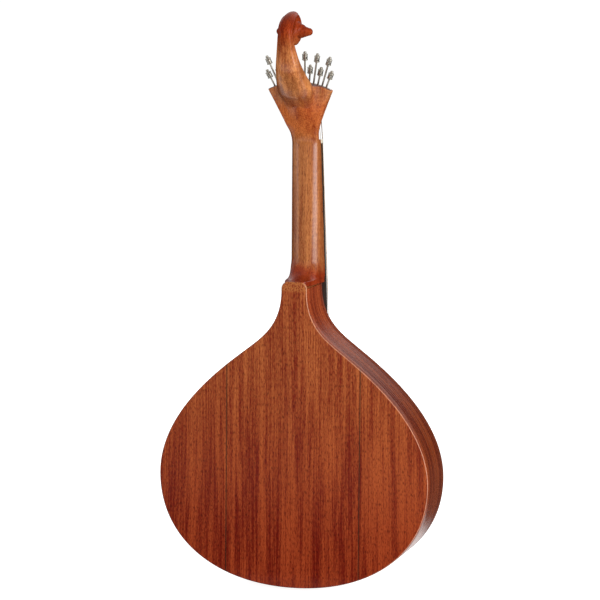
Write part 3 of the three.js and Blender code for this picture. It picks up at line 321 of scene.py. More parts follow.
def skin(bm, rings):
    """A closed skin through rings of equal length; gives the rings' corners"""
    verts, edges = ring_edges(bm, rings[0])
    rows, ends = [verts], [edges]
    for ring in rings[1:]:
        verts, edges = pull_on(bm, verts, edges, ring)
        rows.append(verts)
    ends.append(edges)
    for end in ends:
        bmesh.ops.contextual_create(bm, geom=end)
    bmesh.ops.recalc_face_normals(bm, faces=bm.faces)
    return rows


def loft(rings):
    bm = bmesh.new()
    skin(bm, rings)
    return bm


def across(profile, half):
    """A side profile of depths and rises carried across the body"""
    return loft([[at(x, depth, rise) for depth, rise in profile] for x in (-half, half)])


def joined(meshes):
    """One mesh from several, which are freed"""
    whole = bmesh.new()
    for bm in meshes:
        part = bpy.data.meshes.new("part")
        bm.to_mesh(part)
        bm.free()
        whole.from_mesh(part)
        bpy.data.meshes.remove(part)
    return whole


def shaped(bm, tool=None, **settings):
    """A mesh after a Boolean or a Remesh modifier"""
    objects = []
    for source in filter(None, (bm, tool)):
        mesh = bpy.data.meshes.new("shape")
        source.to_mesh(mesh)
        source.free()
        objects.append(bpy.data.objects.new("shape", mesh))
        bpy.context.collection.objects.link(objects[-1])
    modifier = objects[0].modifiers.new("shape", "BOOLEAN" if tool else "REMESH")
    for key, value in settings.items():
        setattr(modifier, key, value)
    if tool:
        modifier.object = objects[1]
    bpy.context.view_layer.update()
    result = objects[0].evaluated_get(bpy.context.evaluated_depsgraph_get())
    made = bmesh.new()
    made.from_mesh(result.to_mesh())
    result.to_mesh_clear()
    for item in objects:
        mesh = item.data
        bpy.data.objects.remove(item)
        bpy.data.meshes.remove(mesh)
    if not made.faces:
        raise RuntimeError("a cut left nothing")
    return made


def cut(bm, tool):
    return shaped(bm, tool, operation="DIFFERENCE", solver="EXACT")


def kept_in(bm, tool):
    return shaped(bm, tool, operation="INTERSECT", solver="EXACT")


def rounded(bm, width, segments, above=28):
    """Rounds the edges that turn by more than an angle in degrees"""
    limit = math.radians(above)
    sharp = [e for e in bm.edges if e.is_manifold and e.calc_face_angle(0) > limit]
    bmesh.ops.bevel(bm, geom=sharp, offset=width, offset_type="OFFSET", segments=segments, profile=0.5,
                    affect="EDGES", material=-1, clamp_overlap=True)
    return bm


def softened(node, width):
    """A merged copy of a CAD node with its edges rounded"""
    bm = bmesh.new()
    bm.from_mesh(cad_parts[node].data)
    bmesh.ops.remove_doubles(bm, verts=bm.verts, dist=0.002 * MM)
    bmesh.ops.dissolve_limit(bm, angle_limit=math.radians(1.0), use_dissolve_boundaries=False,
                             verts=bm.verts, edges=bm.edges)
    return rounded(bm, width, 2)


def piece(name, bm, material, nodes=(), body="instrument", sharp=30):
    """Turns a mesh into a piece that rides on a body, if one is given, and stands for CAD nodes"""
    limit = math.radians(sharp)
    for face in bm.faces:
        face.smooth = True
    for edge in bm.edges:
        edge.smooth = edge.calc_face_angle(0) < limit
    mesh = bpy.data.meshes.new(name)
    bm.to_mesh(mesh)
    bm.free()
    item = bpy.data.objects.new(name, mesh)
    bpy.context.collection.objects.link(item)
    for each in material if isinstance(material, list) else [material]:
        mesh.materials.append(each)
    if body:
        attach(item, body)
    if nodes:
        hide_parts(*nodes)
    return item


# Shader helpers

def add_node(tree, kind, inputs=None, **settings):
    node = tree.nodes.new(kind)
    for key, value in settings.items():
        setattr(node, key, value)
    for key, value in (inputs or {}).items():
        if isinstance(value, bpy.types.NodeSocket):
            tree.links.new(value, node.inputs[key])
        else:
            node.inputs[key].default_value = value
    return node


def math_node(tree, operation, first, second=0.0, third=0.0, clamp=False):
    return add_node(tree, "ShaderNodeMath", {0: first, 1: second, 2: third}, operation=operation,
                    use_clamp=clamp).outputs[0]


def times(tree, first, second):
    return math_node(tree, "MULTIPLY", first, second)


def minus(tree, first, second):
    return math_node(tree, "SUBTRACT", first, second)


def scaled(tree, value, factor, offset, clamp=False):
    """The value times the factor, plus the offset"""
    return math_node(tree, "MULTIPLY_ADD", value, factor, offset, clamp)


def coordinate(tree, kind):
    return add_node(tree, "ShaderNodeTexCoord").outputs[kind]


def xyz(tree, vector):
    return add_node(tree, "ShaderNodeSeparateXYZ", {0: vector}).outputs


def mixed(tree, factor, first, second, blend="MIX"):
    node = add_node(tree, "ShaderNodeMix", {0: factor, 6: first, 7: second}, data_type="RGBA", blend_type=blend)
    return node.outputs[2]


def toned(tree, shade, toner, strength):
    """The shade through a film of the toner"""
    return mixed(tree, strength, shade, mixed(tree, 1.0, shade, toner, "MULTIPLY"))


def stretched(tree, vector, x, y, z):
    """The vector in cells of the given sizes"""
    scales = (1 / x, 1 / y, 1 / z)
    return add_node(tree, "ShaderNodeVectorMath", {0: vector, 1: scales}, operation="MULTIPLY").outputs[0]


def noise(tree, vector, detail=2.0, roughness=0.5):
    return add_node(tree, "ShaderNodeTexNoise", {"Vector": vector, "Scale": 1.0, "Detail": detail,
                                                 "Roughness": roughness}).outputs[0]


def ramp(tree, value, low, high):
    return add_node(tree, "ShaderNodeMapRange", {0: value, 1: low, 2: high}, clamp=True,
                    interpolation_type="SMOOTHSTEP").outputs[0]


def new_group(name, inputs, outputs):
    group = bpy.data.node_groups.new(name, "ShaderNodeTree")
    for label, kind in inputs:
        group.interface.new_socket(name=label, in_out="INPUT", socket_type=kind)
    for label, kind in outputs:
        group.interface.new_socket(name=label, in_out="OUTPUT", socket_type=kind)
    return group, group.nodes.new("NodeGroupInput").outputs, group.nodes.new("NodeGroupOutput").inputs


# Sizes of the cells of each layer of the wood's figure, along X, Y and the grain
BEND_CELL, BEND_SWING = (0.07, 0.07, 0.30), 0.012
RIBBON_CELL, EDGE_CELL, LINE_CELL = (0.0125, 0.03, 0.26), (0.0034, 0.01, 0.06), (0.0019, 0.004, 0.12)
FLECK_CELL, PORE_CELL = (0.0012, 0.0012, 0.004), (0.0010, 0.0010, 0.005)
EDGE_SHARE, FLECK_SHARE, PORE_TONE = 0.6, 0.34, (0.30, 0.20, 0.15, 1.0)


def figured_wood():
    """A group for wood whose grain runs along Z: ribbons, fine lines, flecks and pores"""
    if "Figured wood" in bpy.data.node_groups:
        return bpy.data.node_groups["Figured wood"]
    vector, number, tint = "NodeSocketVector", "NodeSocketFloat", "NodeSocketColor"
    group, given, out = new_group("Figured wood", [
        ("Vector", vector), ("Pale", tint), ("Deep", tint), ("Ribbon", number), ("Lines", number),
        ("Pores", number), ("Shift", number)], [("Color", tint), ("Height", number), ("Roughness", number)])

    def grain(place, cell, *settings):
        return noise(group, stretched(group, place, *cell), *settings)

    swing = times(group, minus(group, grain(given["Vector"], BEND_CELL, 1.0), 0.5), BEND_SWING)
    offset = add_node(group, "ShaderNodeCombineXYZ", {0: swing, 1: given["Shift"]}).outputs[0]
    place = add_node(group, "ShaderNodeVectorMath", {0: given["Vector"], 1: offset}, operation="ADD").outputs[0]
    ribbon = ramp(group, grain(place, RIBBON_CELL, 1.0, 0.5), 0.36, 0.64)
    edge = minus(group, grain(place, EDGE_CELL, 2.0, 0.6), 0.5)
    ribbon = scaled(group, edge, EDGE_SHARE, ribbon, clamp=True)
    lines = ramp(group, grain(place, LINE_CELL, 3.0, 0.8), 0.36, 0.64)
    flecks = ramp(group, grain(place, FLECK_CELL, 1.0), 0.36, 0.66)
    pores = ramp(group, grain(place, PORE_CELL, 1.0, 0.4), 0.53, 0.66)
    blend = times(group, minus(group, ribbon, 0.5), given["Ribbon"])
    blend = scaled(group, minus(group, lines, 0.5), given["Lines"], blend)
    blend = scaled(group, minus(group, flecks, 0.5), FLECK_SHARE, blend)
    blend = math_node(group, "ADD", blend, 0.5, clamp=True)
    shade = mixed(group, blend, given["Deep"], given["Pale"])
    depth = times(group, pores, given["Pores"])
    group.links.new(toned(group, shade, PORE_TONE, depth), out["Color"])
    group.links.new(scaled(group, depth, -1.0, times(group, lines, 0.25)), out["Height"])
    group.links.new(scaled(group, lines, 0.08, 0.28), out["Roughness"])
    return group


def new_material(name):
    """A material with a Principled shader, and its node tree and shader"""
    material = bpy.data.materials.new(name)
    material.use_nodes = True
    return material, material.node_tree, material.node_tree.nodes["Principled BSDF"]


def wire(tree, shader, links, values):
    for key, value in links.items():
        tree.links.new(value, shader.inputs[key])
    for key, value in values.items():
        shader.inputs[key].default_value = value


def bumped(tree, height, strength, distance):
    return add_node(tree, "ShaderNodeBump", {"Height": height, "Strength": strength, "Distance": distance}).outputs[0]


def wood(name):
    """A varnished wood of the table, made once. Its shift moves the figure, its tint colours
    what the figure gives, and its dull gives the share of the shine that stays"""
    if name in bpy.data.materials:
        return bpy.data.materials[name]
    kind = WOODS[name]
    material, tree, shader = new_material(name)
    if "map" in kind:
        vector = add_node(tree, "ShaderNodeUVMap", uv_map=kind["map"]).outputs[0]
    else:
        vector = coordinate(tree, "Object")
    turned = add_node(tree, "ShaderNodeMapping", {"Vector": vector, "Rotation": kind.get("turn", (0, 0, 0))})
    figure = add_node(tree, "ShaderNodeGroup", node_tree=figured_wood())
    ribbon, lines, pores = kind["figure"]
    wire(tree, figure, {"Vector": turned.outputs[0]},
         {"Pale": getattr(now.finishes, kind["pale"]), "Deep": getattr(now.finishes, kind["deep"]),
          "Ribbon": ribbon, "Lines": lines, "Pores": pores, "Shift": 0.0})
    if "shift" in kind:
        wire(tree, figure, kind["shift"](tree, vector), {})
    shade = figure.outputs["Color"]
    if "tint" in kind:
        shade = kind["tint"](tree, vector, shade)
    rough = times(tree, figure.outputs["Roughness"], kind.get("gloss", 1.0))
    specular = kind["specular"]
    wire(tree, shader, {"Base Color": shade, "Roughness": rough,
                        "Normal": bumped(tree, figure.outputs["Height"], 0.12, 0.3 * MM)},
         {"Specular IOR Level": specular})
    if "dull" in kind:
        wire(tree, shader, {"Specular IOR Level": times(tree, kind["dull"](tree, vector), specular)}, {})
    return material


# Each finish's colour, metallic share, roughness, size of clouds and how much darker they are
PLAINS = {
    "Nickel": ("nickel", 1.0, 0.3, 4 * MM, 0.25),
    "Steel": ("steel", 1.0, 0.25, 3 * MM, 0.15),
    "Bone": ("bone", 0.0, 0.35, 3 * MM, 0.12),
    "Pearl": ("pearl", 0.0, 0.2, 2 * MM, 0.3),
}


def plain(name):
    """A finish of the table with a fine clouded grain in colour and roughness, made once"""
    if name in bpy.data.materials:
        return bpy.data.materials[name]
    word, metallic, roughness, grain, spread = PLAINS[name]
    shade = getattr(now.finishes, word)
    material, tree, shader = new_material(name)
    vector = coordinate(tree, "Object")
    cloud = noise(tree, stretched(tree, vector, grain, grain, grain), 4.0, 0.6)
    fine = noise(tree, stretched(tree, vector, grain / 6, grain / 6, grain / 6))
    dark = [c * (1 - spread) for c in shade[:3]] + [1.0]
    tone = mixed(tree, ramp(tree, cloud, 0.3, 0.7), dark, shade)
    rough = scaled(tree, fine, 0.25 * roughness, 0.85 * roughness)
    wire(tree, shader, {"Base Color": tone, "Roughness": rough, "Normal": bumped(tree, fine, 0.05, 0.1 * MM)},
         {"Metallic": metallic})
    return material


def dress(names, material):
    """Gives CAD nodes a material"""
    for name in names:
        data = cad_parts[name].data
        data.materials.clear()
        data.materials.append(material)


# Body

def front_depth(rise):
    """Depth of the soundboard's face"""
    body = now.body
    return mix(body.tail_depth, body.neck_depth, rise / BODY_LENGTH)


LOWER_TAIL_SHARE, LOWER_SIDE_SHARE = 0.588, 0.612
UPPER_SIDE_SHARE, UPPER_SHOULDER_SHARE = 0.48, 0.367
NECK_SHOULDER_SHARE, NECK_TAB_SHARE = 0.62, 0.56
OUTLINE_STEPS = (40, 36, 30)
CORNER_STEPS = 8


def half_outline():
    """Corners of the body's outline from the tail up its treble side"""
    body = now.body
    along = Vector((math.cos(body.shoulder_slope), -math.sin(body.shoulder_slope)))
    rise = body.shoulder_height - body.widest
    shoulder = Vector((body.shoulder_half, body.shoulder_height))
    outward = shoulder + along * UPPER_SHOULDER_SHARE * (HALF_WIDTH - body.shoulder_half)
    inward = shoulder - along * NECK_SHOULDER_SHARE * (body.shoulder_half - body.tab_half)
    curves = (
        ((0, 0), (LOWER_TAIL_SHARE * HALF_WIDTH, 0), (HALF_WIDTH, (1 - LOWER_SIDE_SHARE) * body.widest),
         (HALF_WIDTH, body.widest)),
        ((HALF_WIDTH, body.widest), (HALF_WIDTH, body.widest + UPPER_SIDE_SHARE * rise), outward, shoulder),
        (shoulder, inward, (body.tab_half, mix(body.tab_height, body.shoulder_height, NECK_TAB_SHARE)),
         (body.tab_half, body.tab_height)),
    )
    points = [bezier(controls, i / steps) for controls, steps in zip(curves, OUTLINE_STEPS) for i in range(steps)]
    for i in range(CORNER_STEPS + 1):
        turn = math.pi / 2 * i / CORNER_STEPS
        points.append(Vector((body.tab_half - body.tab_corner + body.tab_corner * math.cos(turn),
                              BODY_LENGTH - body.tab_corner + body.tab_corner * math.sin(turn))))
    return points


def outline(inset=0.0):
    """The whole outline, drawn in along its own normals"""
    right = half_outline()
    whole = right + [Vector((-p.x, p.y)) for p in reversed(right[1:])]
    drawn = []
    for i, point in enumerate(whole):
        run = (whole[(i + 1) % len(whole)] - whole[i - 1]).normalized()
        drawn.append(Vector((point.x - run.y * inset, point.y + run.x * inset)))
    return drawn


def back_board(low, high):
    """The part of the back between two seams, with its outer edge rounded"""
    body = now.body
    bm = bmesh.new()
    edges = ring_edges(bm, [at(p.x, 0, p.y) for p in outline()])[1]
    back = bmesh.ops.contextual_create(bm, geom=edges)["faces"]
    made = bmesh.ops.extrude_face_region(bm, geom=back)["geom"]
    front = [g for g in made if isinstance(g, bmesh.types.BMVert)]
    bmesh.ops.translate(bm, verts=front, vec=(0, -body.back_thickness, 0))
    bmesh.ops.recalc_face_normals(bm, faces=bm.faces)
    rim = [e for e in bm.edges if all(abs(v.co.y - BACK_Y) < 0.01 * MM for v in e.verts)]
    bmesh.ops.bevel(bm, geom=rim, offset=body.edge_round, offset_type="OFFSET", segments=6, profile=0.5,
                    affect="EDGES", material=-1)
    for place, side in ((low, -1), (high, 1)):
        if abs(place) < HALF_WIDTH:
            bmesh.ops.bisect_plane(bm, geom=bm.verts[:] + bm.edges[:] + bm.faces[:], dist=0.001 * MM,
                                   plane_co=(place, 0, 0), plane_no=(side, 0, 0), clear_outer=True)
            open_edges = [e for e in bm.edges if e.is_boundary]
            bmesh.ops.contextual_create(bm, geom=open_edges)
            seam = [e for e in open_edges if e.is_valid and all(v.co.y > BACK_Y - 0.01 * MM for v in e.verts)]
            bmesh.ops.bevel(bm, geom=seam, offset=0.1 * MM, offset_type="OFFSET", segments=2, profile=0.5,
                            affect="EDGES", material=-1)
    return bm


# Toners that multiply a wood's colour; the rib toner on the next line is a painted sheen
GOLDEN, PAINTED_RIB_SHEEN = (1.04, 1.14, 1.2, 1.0), (1.7, 1.6, 1.6, 1.0)
# The stem toner on the next line is a painted highlight
WARM, PAINTED_STEM_HIGHLIGHT = (1.3, 1.0, 0.85, 1.0), (1.45, 1.6, 1.75, 1.0)


def back_shift(tree, vector):
    """Moves the figure from board to board; it is fainter towards the neck and on the left board"""
    place = xyz(tree, vector)
    right = math_node(tree, "LESS_THAN", place[0], -SEAM_X)
    left = math_node(tree, "GREATER_THAN", place[0], SEAM_X)
    shift = scaled(tree, right, 0.37, times(tree, left, 0.83))
    low = ramp(tree, place[2], TAIL_Z + 0.72 * BODY_LENGTH, TAIL_Z + 0.28 * BODY_LENGTH)
    strength = scaled(tree, low, 0.32, 0.30)
    return {"Shift": shift, "Ribbon": scaled(tree, left, -0.22, strength)}


def back_tint(tree, vector, shade):
    """The back reddens and darkens towards its tail, partly a painted shade for less light on its lower part, turns
    golden towards the neck, and ends in pale end grain behind the heel; its seams are dark, and a painted highlight
    lies on its rounded edge, strongest on the bass side"""
    finish = now.finishes
    x, _, z = xyz(tree, vector)
    # Partly painted shade: the back is darker and redder towards its tail
    low = times(tree, ramp(tree, z, TAIL_Z + 0.8 * BODY_LENGTH, TAIL_Z), 0.75)
    shade = toned(tree, shade, finish.tail_toner, low)
    high = ramp(tree, z, TAIL_Z + 0.4 * BODY_LENGTH, TAIL_Z + 0.8 * BODY_LENGTH)
    shade = toned(tree, shade, GOLDEN, high)
    tip = ramp(tree, z, TAIL_Z + BODY_LENGTH - 15 * MM, TAIL_Z + BODY_LENGTH - 10 * MM)
    spots = ramp(tree, noise(tree, stretched(tree, vector, 0.0013, 0.002, 0.0015), 1.0), 0.48, 0.62)
    end_grain = mixed(tree, spots, finish.neck_pale, finish.back_deep)
    shade = mixed(tree, times(tree, tip, 0.6), shade, end_grain)
    away = math_node(tree, "ABSOLUTE", minus(tree, math_node(tree, "ABSOLUTE", x), SEAM_X))
    seam = times(tree, ramp(tree, away, 1.1 * MM, 0.5 * MM), 0.75)
    shade = mixed(tree, seam, shade, finish.inlay_deep)
    # Painted highlight: a pale line on the rounded edge, on faces turned towards the bass side (-X) most
    normal = xyz(tree, coordinate(tree, "Normal"))
    edge = times(tree, ramp(tree, normal[1], 0.86, 0.78), ramp(tree, normal[1], 0.55, 0.66))
    edge = times(tree, edge, ramp(tree, normal[0], -0.12, -0.5))
    return mixed(tree, times(tree, edge, 0.8), shade, finish.worn_edge)


def rib_tint(tree, vector, shade):
    """The sides are painted lighter towards the heel, a painted sheen that stands for the pale reflection on their
    upper part
    """
    z = xyz(tree, coordinate(tree, "Object"))[2]
    high = ramp(tree, z, TAIL_Z + 0.68 * BODY_LENGTH, TAIL_Z + BODY_LENGTH)
    return toned(tree, shade, PAINTED_RIB_SHEEN, high)


def neck_tint(tree, vector, shade):
    """Red toner on the heel and the scroll, with painted shade that reaches higher up the heel's treble side; curly
    figure on the shaft's bass side, painted only there as the shimmer of the highlight;
    a warm fan, painted highlight sweeps on the stem, and a dark line round the fan's rim"""
    finish, tuner, head = now.finishes, now.tuner, now.head
    x, _, z = xyz(tree, vector)
    nut = TAIL_Z + nut_height()
    cloud = noise(tree, stretched(tree, vector, 0.012, 0.012, 0.02), 2.0)
    # Painted shade: the toned heel reaches higher on the treble side (+X), which the light leaves darker
    shade_skewed_rise = scaled(tree, cloud, 0.02, scaled(tree, x, -0.25, z))
    heel = ramp(tree, shade_skewed_rise, TAIL_Z + BODY_LENGTH + 40 * MM, TAIL_Z + BODY_LENGTH + 18 * MM)
    # Partly painted highlight: real curly figure, drawn only on the bass side, where it stands for the shimmer in the
    # highlight
    flame_shimmer = ramp(tree, noise(tree, stretched(tree, vector, 0.009, 0.02, 0.0034), 1.0), 0.35, 0.65)
    bass = times(tree, ramp(tree, x, -8 * MM, -14 * MM), 0.3)
    shade = mixed(tree, times(tree, flame_shimmer, bass), shade, finish.neck_deep)
    scroll = ramp(tree, z, nut + 0.76 * head.rise, nut + 1.05 * head.rise)
    warm = times(tree, ramp(tree, z, nut, nut + 25 * MM), ramp(tree, z, nut + 70 * MM, nut + 45 * MM))
    shade = toned(tree, shade, WARM, warm)
    # Painted highlight: pale sweeps on the stem stand for the glare of the light on it
    sweep = ramp(tree, noise(tree, stretched(tree, vector, 0.007, 0.02, 0.09), 1.0), 0.4, 0.6)
    high = times(tree, ramp(tree, z, nut + 45 * MM, nut + 80 * MM),
                 ramp(tree, z, nut + 0.95 * head.rise, nut + 0.75 * head.rise))
    shade = toned(tree, shade, PAINTED_STEM_HIGHLIGHT, times(tree, high, sweep))
    shade = toned(tree, shade, finish.neck_toner, math_node(tree, "MAXIMUM", heel, scroll))
    turned = add_node(tree, "ShaderNodeMapping", {"Vector": vector, "Location": fan_frame().translation,
                                                  "Rotation": (-head.lean, 0, 0)}, vector_type="TEXTURE")
    flat = add_node(tree, "ShaderNodeVectorMath", {0: turned.outputs[0], 1: (1, 0, 1)}, operation="MULTIPLY")
    radius = add_node(tree, "ShaderNodeVectorMath", {0: flat.outputs[0]}, operation="LENGTH").outputs["Value"]
    depth = xyz(tree, turned.outputs[0])[1]
    line = ramp(tree, radius, tuner.radius + head.rim_cover - 1.1 * MM, tuner.radius + head.rim_cover - 0.5 * MM)
    near = ramp(tree, depth, 16 * MM, 12 * MM)
    past = ramp(tree, radius, tuner.radius + 5 * MM, tuner.radius + 4 * MM)
    return mixed(tree, times(tree, times(tree, line, past), near), shade, finish.edge_dark)


def head_dull(tree, vector):
    """The share of the shine that stays: less on the heel, the fan and the scroll"""
    z = xyz(tree, vector)[2]
    nut, joint = TAIL_Z + nut_height(), TAIL_Z + BODY_LENGTH
    fan = times(tree, ramp(tree, z, nut - 5 * MM, nut + 15 * MM), 0.65)
    stem = scaled(tree, ramp(tree, z, nut + 50 * MM, nut + 75 * MM), 0.45, 1.0)
    scroll = times(tree, ramp(tree, z, nut + 100 * MM, nut + 135 * MM), 0.7)
    heel = times(tree, ramp(tree, z, joint + 32 * MM, joint + 16 * MM), 0.7)
    return minus(tree, minus(tree, minus(tree, stem, fan), scroll), heel)


def bound_tint(tree, vector, shade):
    """The soundboard's side faces are as dark as the ribs"""
    side = ramp(tree, xyz(tree, coordinate(tree, "Normal"))[1], -0.7, -0.3)
    return mixed(tree, side, shade, now.finishes.rib_deep)


# The figure is the contrast of ribbons, of fine lines and of pores
WOODS = {
    "Back sapele": {"pale": "back_pale", "deep": "back_deep", "figure": (0.55, 0.62, 0.7), "specular": 0.12,
                    "shift": back_shift, "tint": back_tint},
    "Rib sapele": {"pale": "rib_pale", "deep": "rib_deep", "figure": (0.6, 0.5, 0.6), "specular": 0.22,
                   "gloss": 0.8, "map": "grain", "turn": (math.pi / 2, 0, 0), "tint": rib_tint},
    "Neck wood": {"pale": "neck_pale", "deep": "neck_deep", "figure": (0.45, 0.45, 0.5), "specular": 0.55,
                  "gloss": 0.75, "tint": neck_tint, "dull": head_dull},
    "Neck block wood": {"pale": "neck_pale", "deep": "neck_deep", "figure": (0.4, 0.4, 0.3), "specular": 0.2},
    "Inner wood": {"pale": "spruce_pale", "deep": "spruce_deep", "figure": (0.2, 0.5, 0.1), "specular": 0.2,
                   "turn": (0, math.pi / 2, 0)},
    "Soundboard spruce": {"pale": "spruce_pale", "deep": "spruce_deep", "figure": (0.12, 0.6, 0.05),
                          "specular": 0.3, "tint": bound_tint},
    "Ebony": {"pale": "ebony_pale", "deep": "ebony", "figure": (0.3, 0.5, 0.3), "specular": 0.3},
}


class GUITAR_OT_back(bpy.types.Operator):
    """Makes the back's three boards"""
    bl_idname = "guitar.back"
    bl_label = "Back boards"

    def execute(self, context):
        edge = 0.03 * MM
        seam = SEAM_X - edge
        wide = 2 * HALF_WIDTH
        for name, low, high in (("right", -wide, -seam - edge), ("centre", -seam + edge, seam - edge),
                                ("left", seam + edge, wide)):
            piece(f"back_{name}_board", back_board(low, high), wood("Back sapele"),
                  [f"back_{name}_panel"])
        return {"FINISHED"}


def rib(side):
    """One bent side, with the depth and the length along the outline in the map named grain"""
    body, neck = now.body, now.neck
    top = BODY_LENGTH - neck.heel_seat - body.glue
    limit = [p for p in half_outline() if p.y < top - 1 * MM]
    whole = outline()
    inner = outline(body.rib_thickness)
    count = len(limit)
    near, far = body.back_thickness + body.glue, body.top_thickness + body.glue
    bm = bmesh.new()
    layer = bm.loops.layers.uv.new("grain")
    steps = 6

    def column(p):
        return [at(side * max(p.x, body.glue / 2), mix(near, front_depth(p.y) - far, i / steps), p.y)
                for i in range(steps + 1)]

    outer = [whole[i] for i in range(count)]
    inside = [inner[i] for i in range(count)]
    path = outer + list(reversed(inside))
    runs = [0.0]
    for first, second in zip(path, path[1:]):
        runs.append(runs[-1] + (second - first).length)
    columns = [column(p) for p in path]
    rows = skin(bm, [[points[i] for points in columns] for i in range(steps + 1)])
    where = {v: (n if n < count else 2 * count - 1 - n) for row in rows for n, v in enumerate(row)}
    for face in bm.faces:
        for loop in face.loops:
            loop[layer].uv = (BACK_Y - loop.vert.co.y, runs[where[loop.vert]])
    return bm


class GUITAR_OT_ribs(bpy.types.Operator):
    """Makes the two bent sides"""
    bl_idname = "guitar.ribs"
    bl_label = "Ribs"

    def execute(self, context):
        for name, side in (("bass", -1), ("treble", 1)):
            bm = rounded(rib(side), 0.25 * MM, 2, 40)
            piece(f"{name}_side", bm, wood("Rib sapele"), [f"{name}_rib"])
        return {"FINISHED"}


def lining(side, near, far):
    """A strip glued inside a rib, from the tail block to the neck block"""
    body = now.body
    top = BODY_LENGTH - now.neck.heel_seat - body.neck_block - body.glue
    outer, inner = outline(body.rib_thickness + body.glue), outline(body.rib_thickness + body.lining_width)
    run = [i for i, p in enumerate(half_outline()) if body.tail_block / 2 + 1 * MM < p.x and p.y < top]
    path = [outer[i] for i in run] + [inner[i] for i in reversed(run)]
    return loft([[at(side * p.x, level(p.y), p.y) for p in path] for level in (near, far)])


class GUITAR_OT_inside(bpy.types.Operator):
    """Makes the linings, and gives the blocks and braces their bare wood"""
    bl_idname = "guitar.inside"
    bl_label = "Linings, blocks and braces"

    def execute(self, context):
        body = now.body
        back = body.back_thickness + body.glue
        front = body.top_thickness + body.glue
        for name, side in (("bass", -1), ("treble", 1)):
            strips = [lining(side, lambda rise: back, lambda rise: back + body.lining_height),
                      lining(side, lambda rise: front_depth(rise) - front - body.lining_height,
                             lambda rise: front_depth(rise) - front)]
            piece(f"{name}_linings", joined(strips), wood("Inner wood"))
        names = [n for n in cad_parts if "brace" in n or n == "tail_block"]
        dress(names, wood("Inner wood"))
        dress(["neck_block"], wood("Neck block wood"))
        return {"FINISHED"}


# Soundboard, bridge and tailpiece

def soundhole_height():
    body, neck = now.body, now.neck
    return nut_height() - neck.board_length - body.hole_below_board - body.hole_radius


def front_frame():
    """The soundboard's own frame: its face is the plane y = 0, centred on the soundhole"""
    body = now.body
    rise = soundhole_height()
    slope = math.atan2(body.tail_depth - body.neck_depth, BODY_LENGTH)
    return Matrix.Translation(at(0, front_depth(rise), rise)) @ Matrix.Rotation(slope, 4, "X")


def front_ring(inner, outer, deep, proud=0.0, round_off=0.0):
    """A turned ring let into the soundboard"""
    bm = bmesh.new()
    profile = [(inner, deep), (inner, -proud), (outer, -proud), (outer, deep)]
    verts = [bm.verts.new((radius, y, 0)) for radius, y in profile]
    edges = [bm.edges.new((verts[i - 1], verts[i])) for i in range(4)]
    bmesh.ops.spin(bm, geom=verts + edges, cent=(0, 0, 0), axis=(0, 1, 0), dvec=(0, 0, 0), angle=2 * math.pi,
                   steps=96, use_merge=True)
    bmesh.ops.remove_doubles(bm, verts=bm.verts, dist=0.005 * MM)
    bmesh.ops.recalc_face_normals(bm, faces=bm.faces)
    if round_off:
        rounded(bm, round_off, 2, 60)
    bmesh.ops.transform(bm, matrix=front_frame(), verts=bm.verts)
    return bm


def front_disc(radius):
    """A plug that cuts the soundhole"""
    bm = bmesh.new()
    bmesh.ops.create_cone(bm, cap_ends=True, segments=96, radius1=radius, radius2=radius, depth=30 * MM,
                          matrix=front_frame() @ Matrix.Rotation(math.pi / 2, 4, "X"))
    return bm


def front_band(outer, inner, proud):
    """A narrow strip let into the soundboard along its edge"""
    bm = bmesh.new()
    edges = []
    for inset in (outer, inner):
        edges += ring_edges(bm, [at(p.x, front_depth(p.y) + proud, p.y) for p in outline(inset)])[1]
    band = bmesh.ops.bridge_loops(bm, edges=edges)["faces"]
    made = bmesh.ops.extrude_face_region(bm, geom=band)["geom"]
    bmesh.ops.translate(bm, verts=[g for g in made if isinstance(g, bmesh.types.BMVert)], vec=(0, 0.5 * MM, 0))
    bmesh.ops.recalc_face_normals(bm, faces=bm.faces)
    return bm


CHAIN_LINKS, CHAIN_SLANT, CHAIN_SHADE = 72.0, 1100.0, (0.6, 0.55, 0.5, 1.0)


def rosette_material():
    """Dark and pale pieces laid in a slanting chain round the soundhole"""
    if "Rosette" in bpy.data.materials:
        return bpy.data.materials["Rosette"]
    body, finish = now.body, now.finishes
    material, tree, shader = new_material("Rosette")
    vector = coordinate(tree, "Object")
    centre = front_frame().translation
    moved = add_node(tree, "ShaderNodeVectorMath", {0: vector, 1: centre}, operation="SUBTRACT").outputs[0]
    parts = xyz(tree, moved)
    turn = math_node(tree, "ARCTAN2", parts[2], parts[0])
    flat = add_node(tree, "ShaderNodeVectorMath", {0: moved, 1: (1, 0, 1)}, operation="MULTIPLY").outputs[0]
    radius = add_node(tree, "ShaderNodeVectorMath", {0: flat}, operation="LENGTH").outputs["Value"]
    middle = (body.rosette_inner + body.rosette_outer) / 2
    away = math_node(tree, "ABSOLUTE", minus(tree, radius, middle))
    slant = scaled(tree, turn, CHAIN_LINKS, times(tree, away, CHAIN_SLANT))
    chain = ramp(tree, math_node(tree, "SINE", slant), -0.15, 0.15)
    band = ramp(tree, away, 3.0 * MM, 2.9 * MM)
    tone = mixed(tree, times(tree, chain, band), finish.inlay_deep, finish.inlay_pale)
    grain = noise(tree, stretched(tree, vector, 0.6 * MM, 0.6 * MM, 3 * MM), 2.0)
    tone = toned(tree, tone, CHAIN_SHADE, ramp(tree, grain, 0.8, 0.3))
    wire(tree, shader, {"Base Color": tone, "Normal": bumped(tree, grain, 0.08, 0.1 * MM)},
         {"Roughness": 0.3, "Specular IOR Level": 0.3})
    return material


PURFLING_INSETS, PURFLING_PROUD = (3.0 * MM, 4.4 * MM), 0.04 * MM


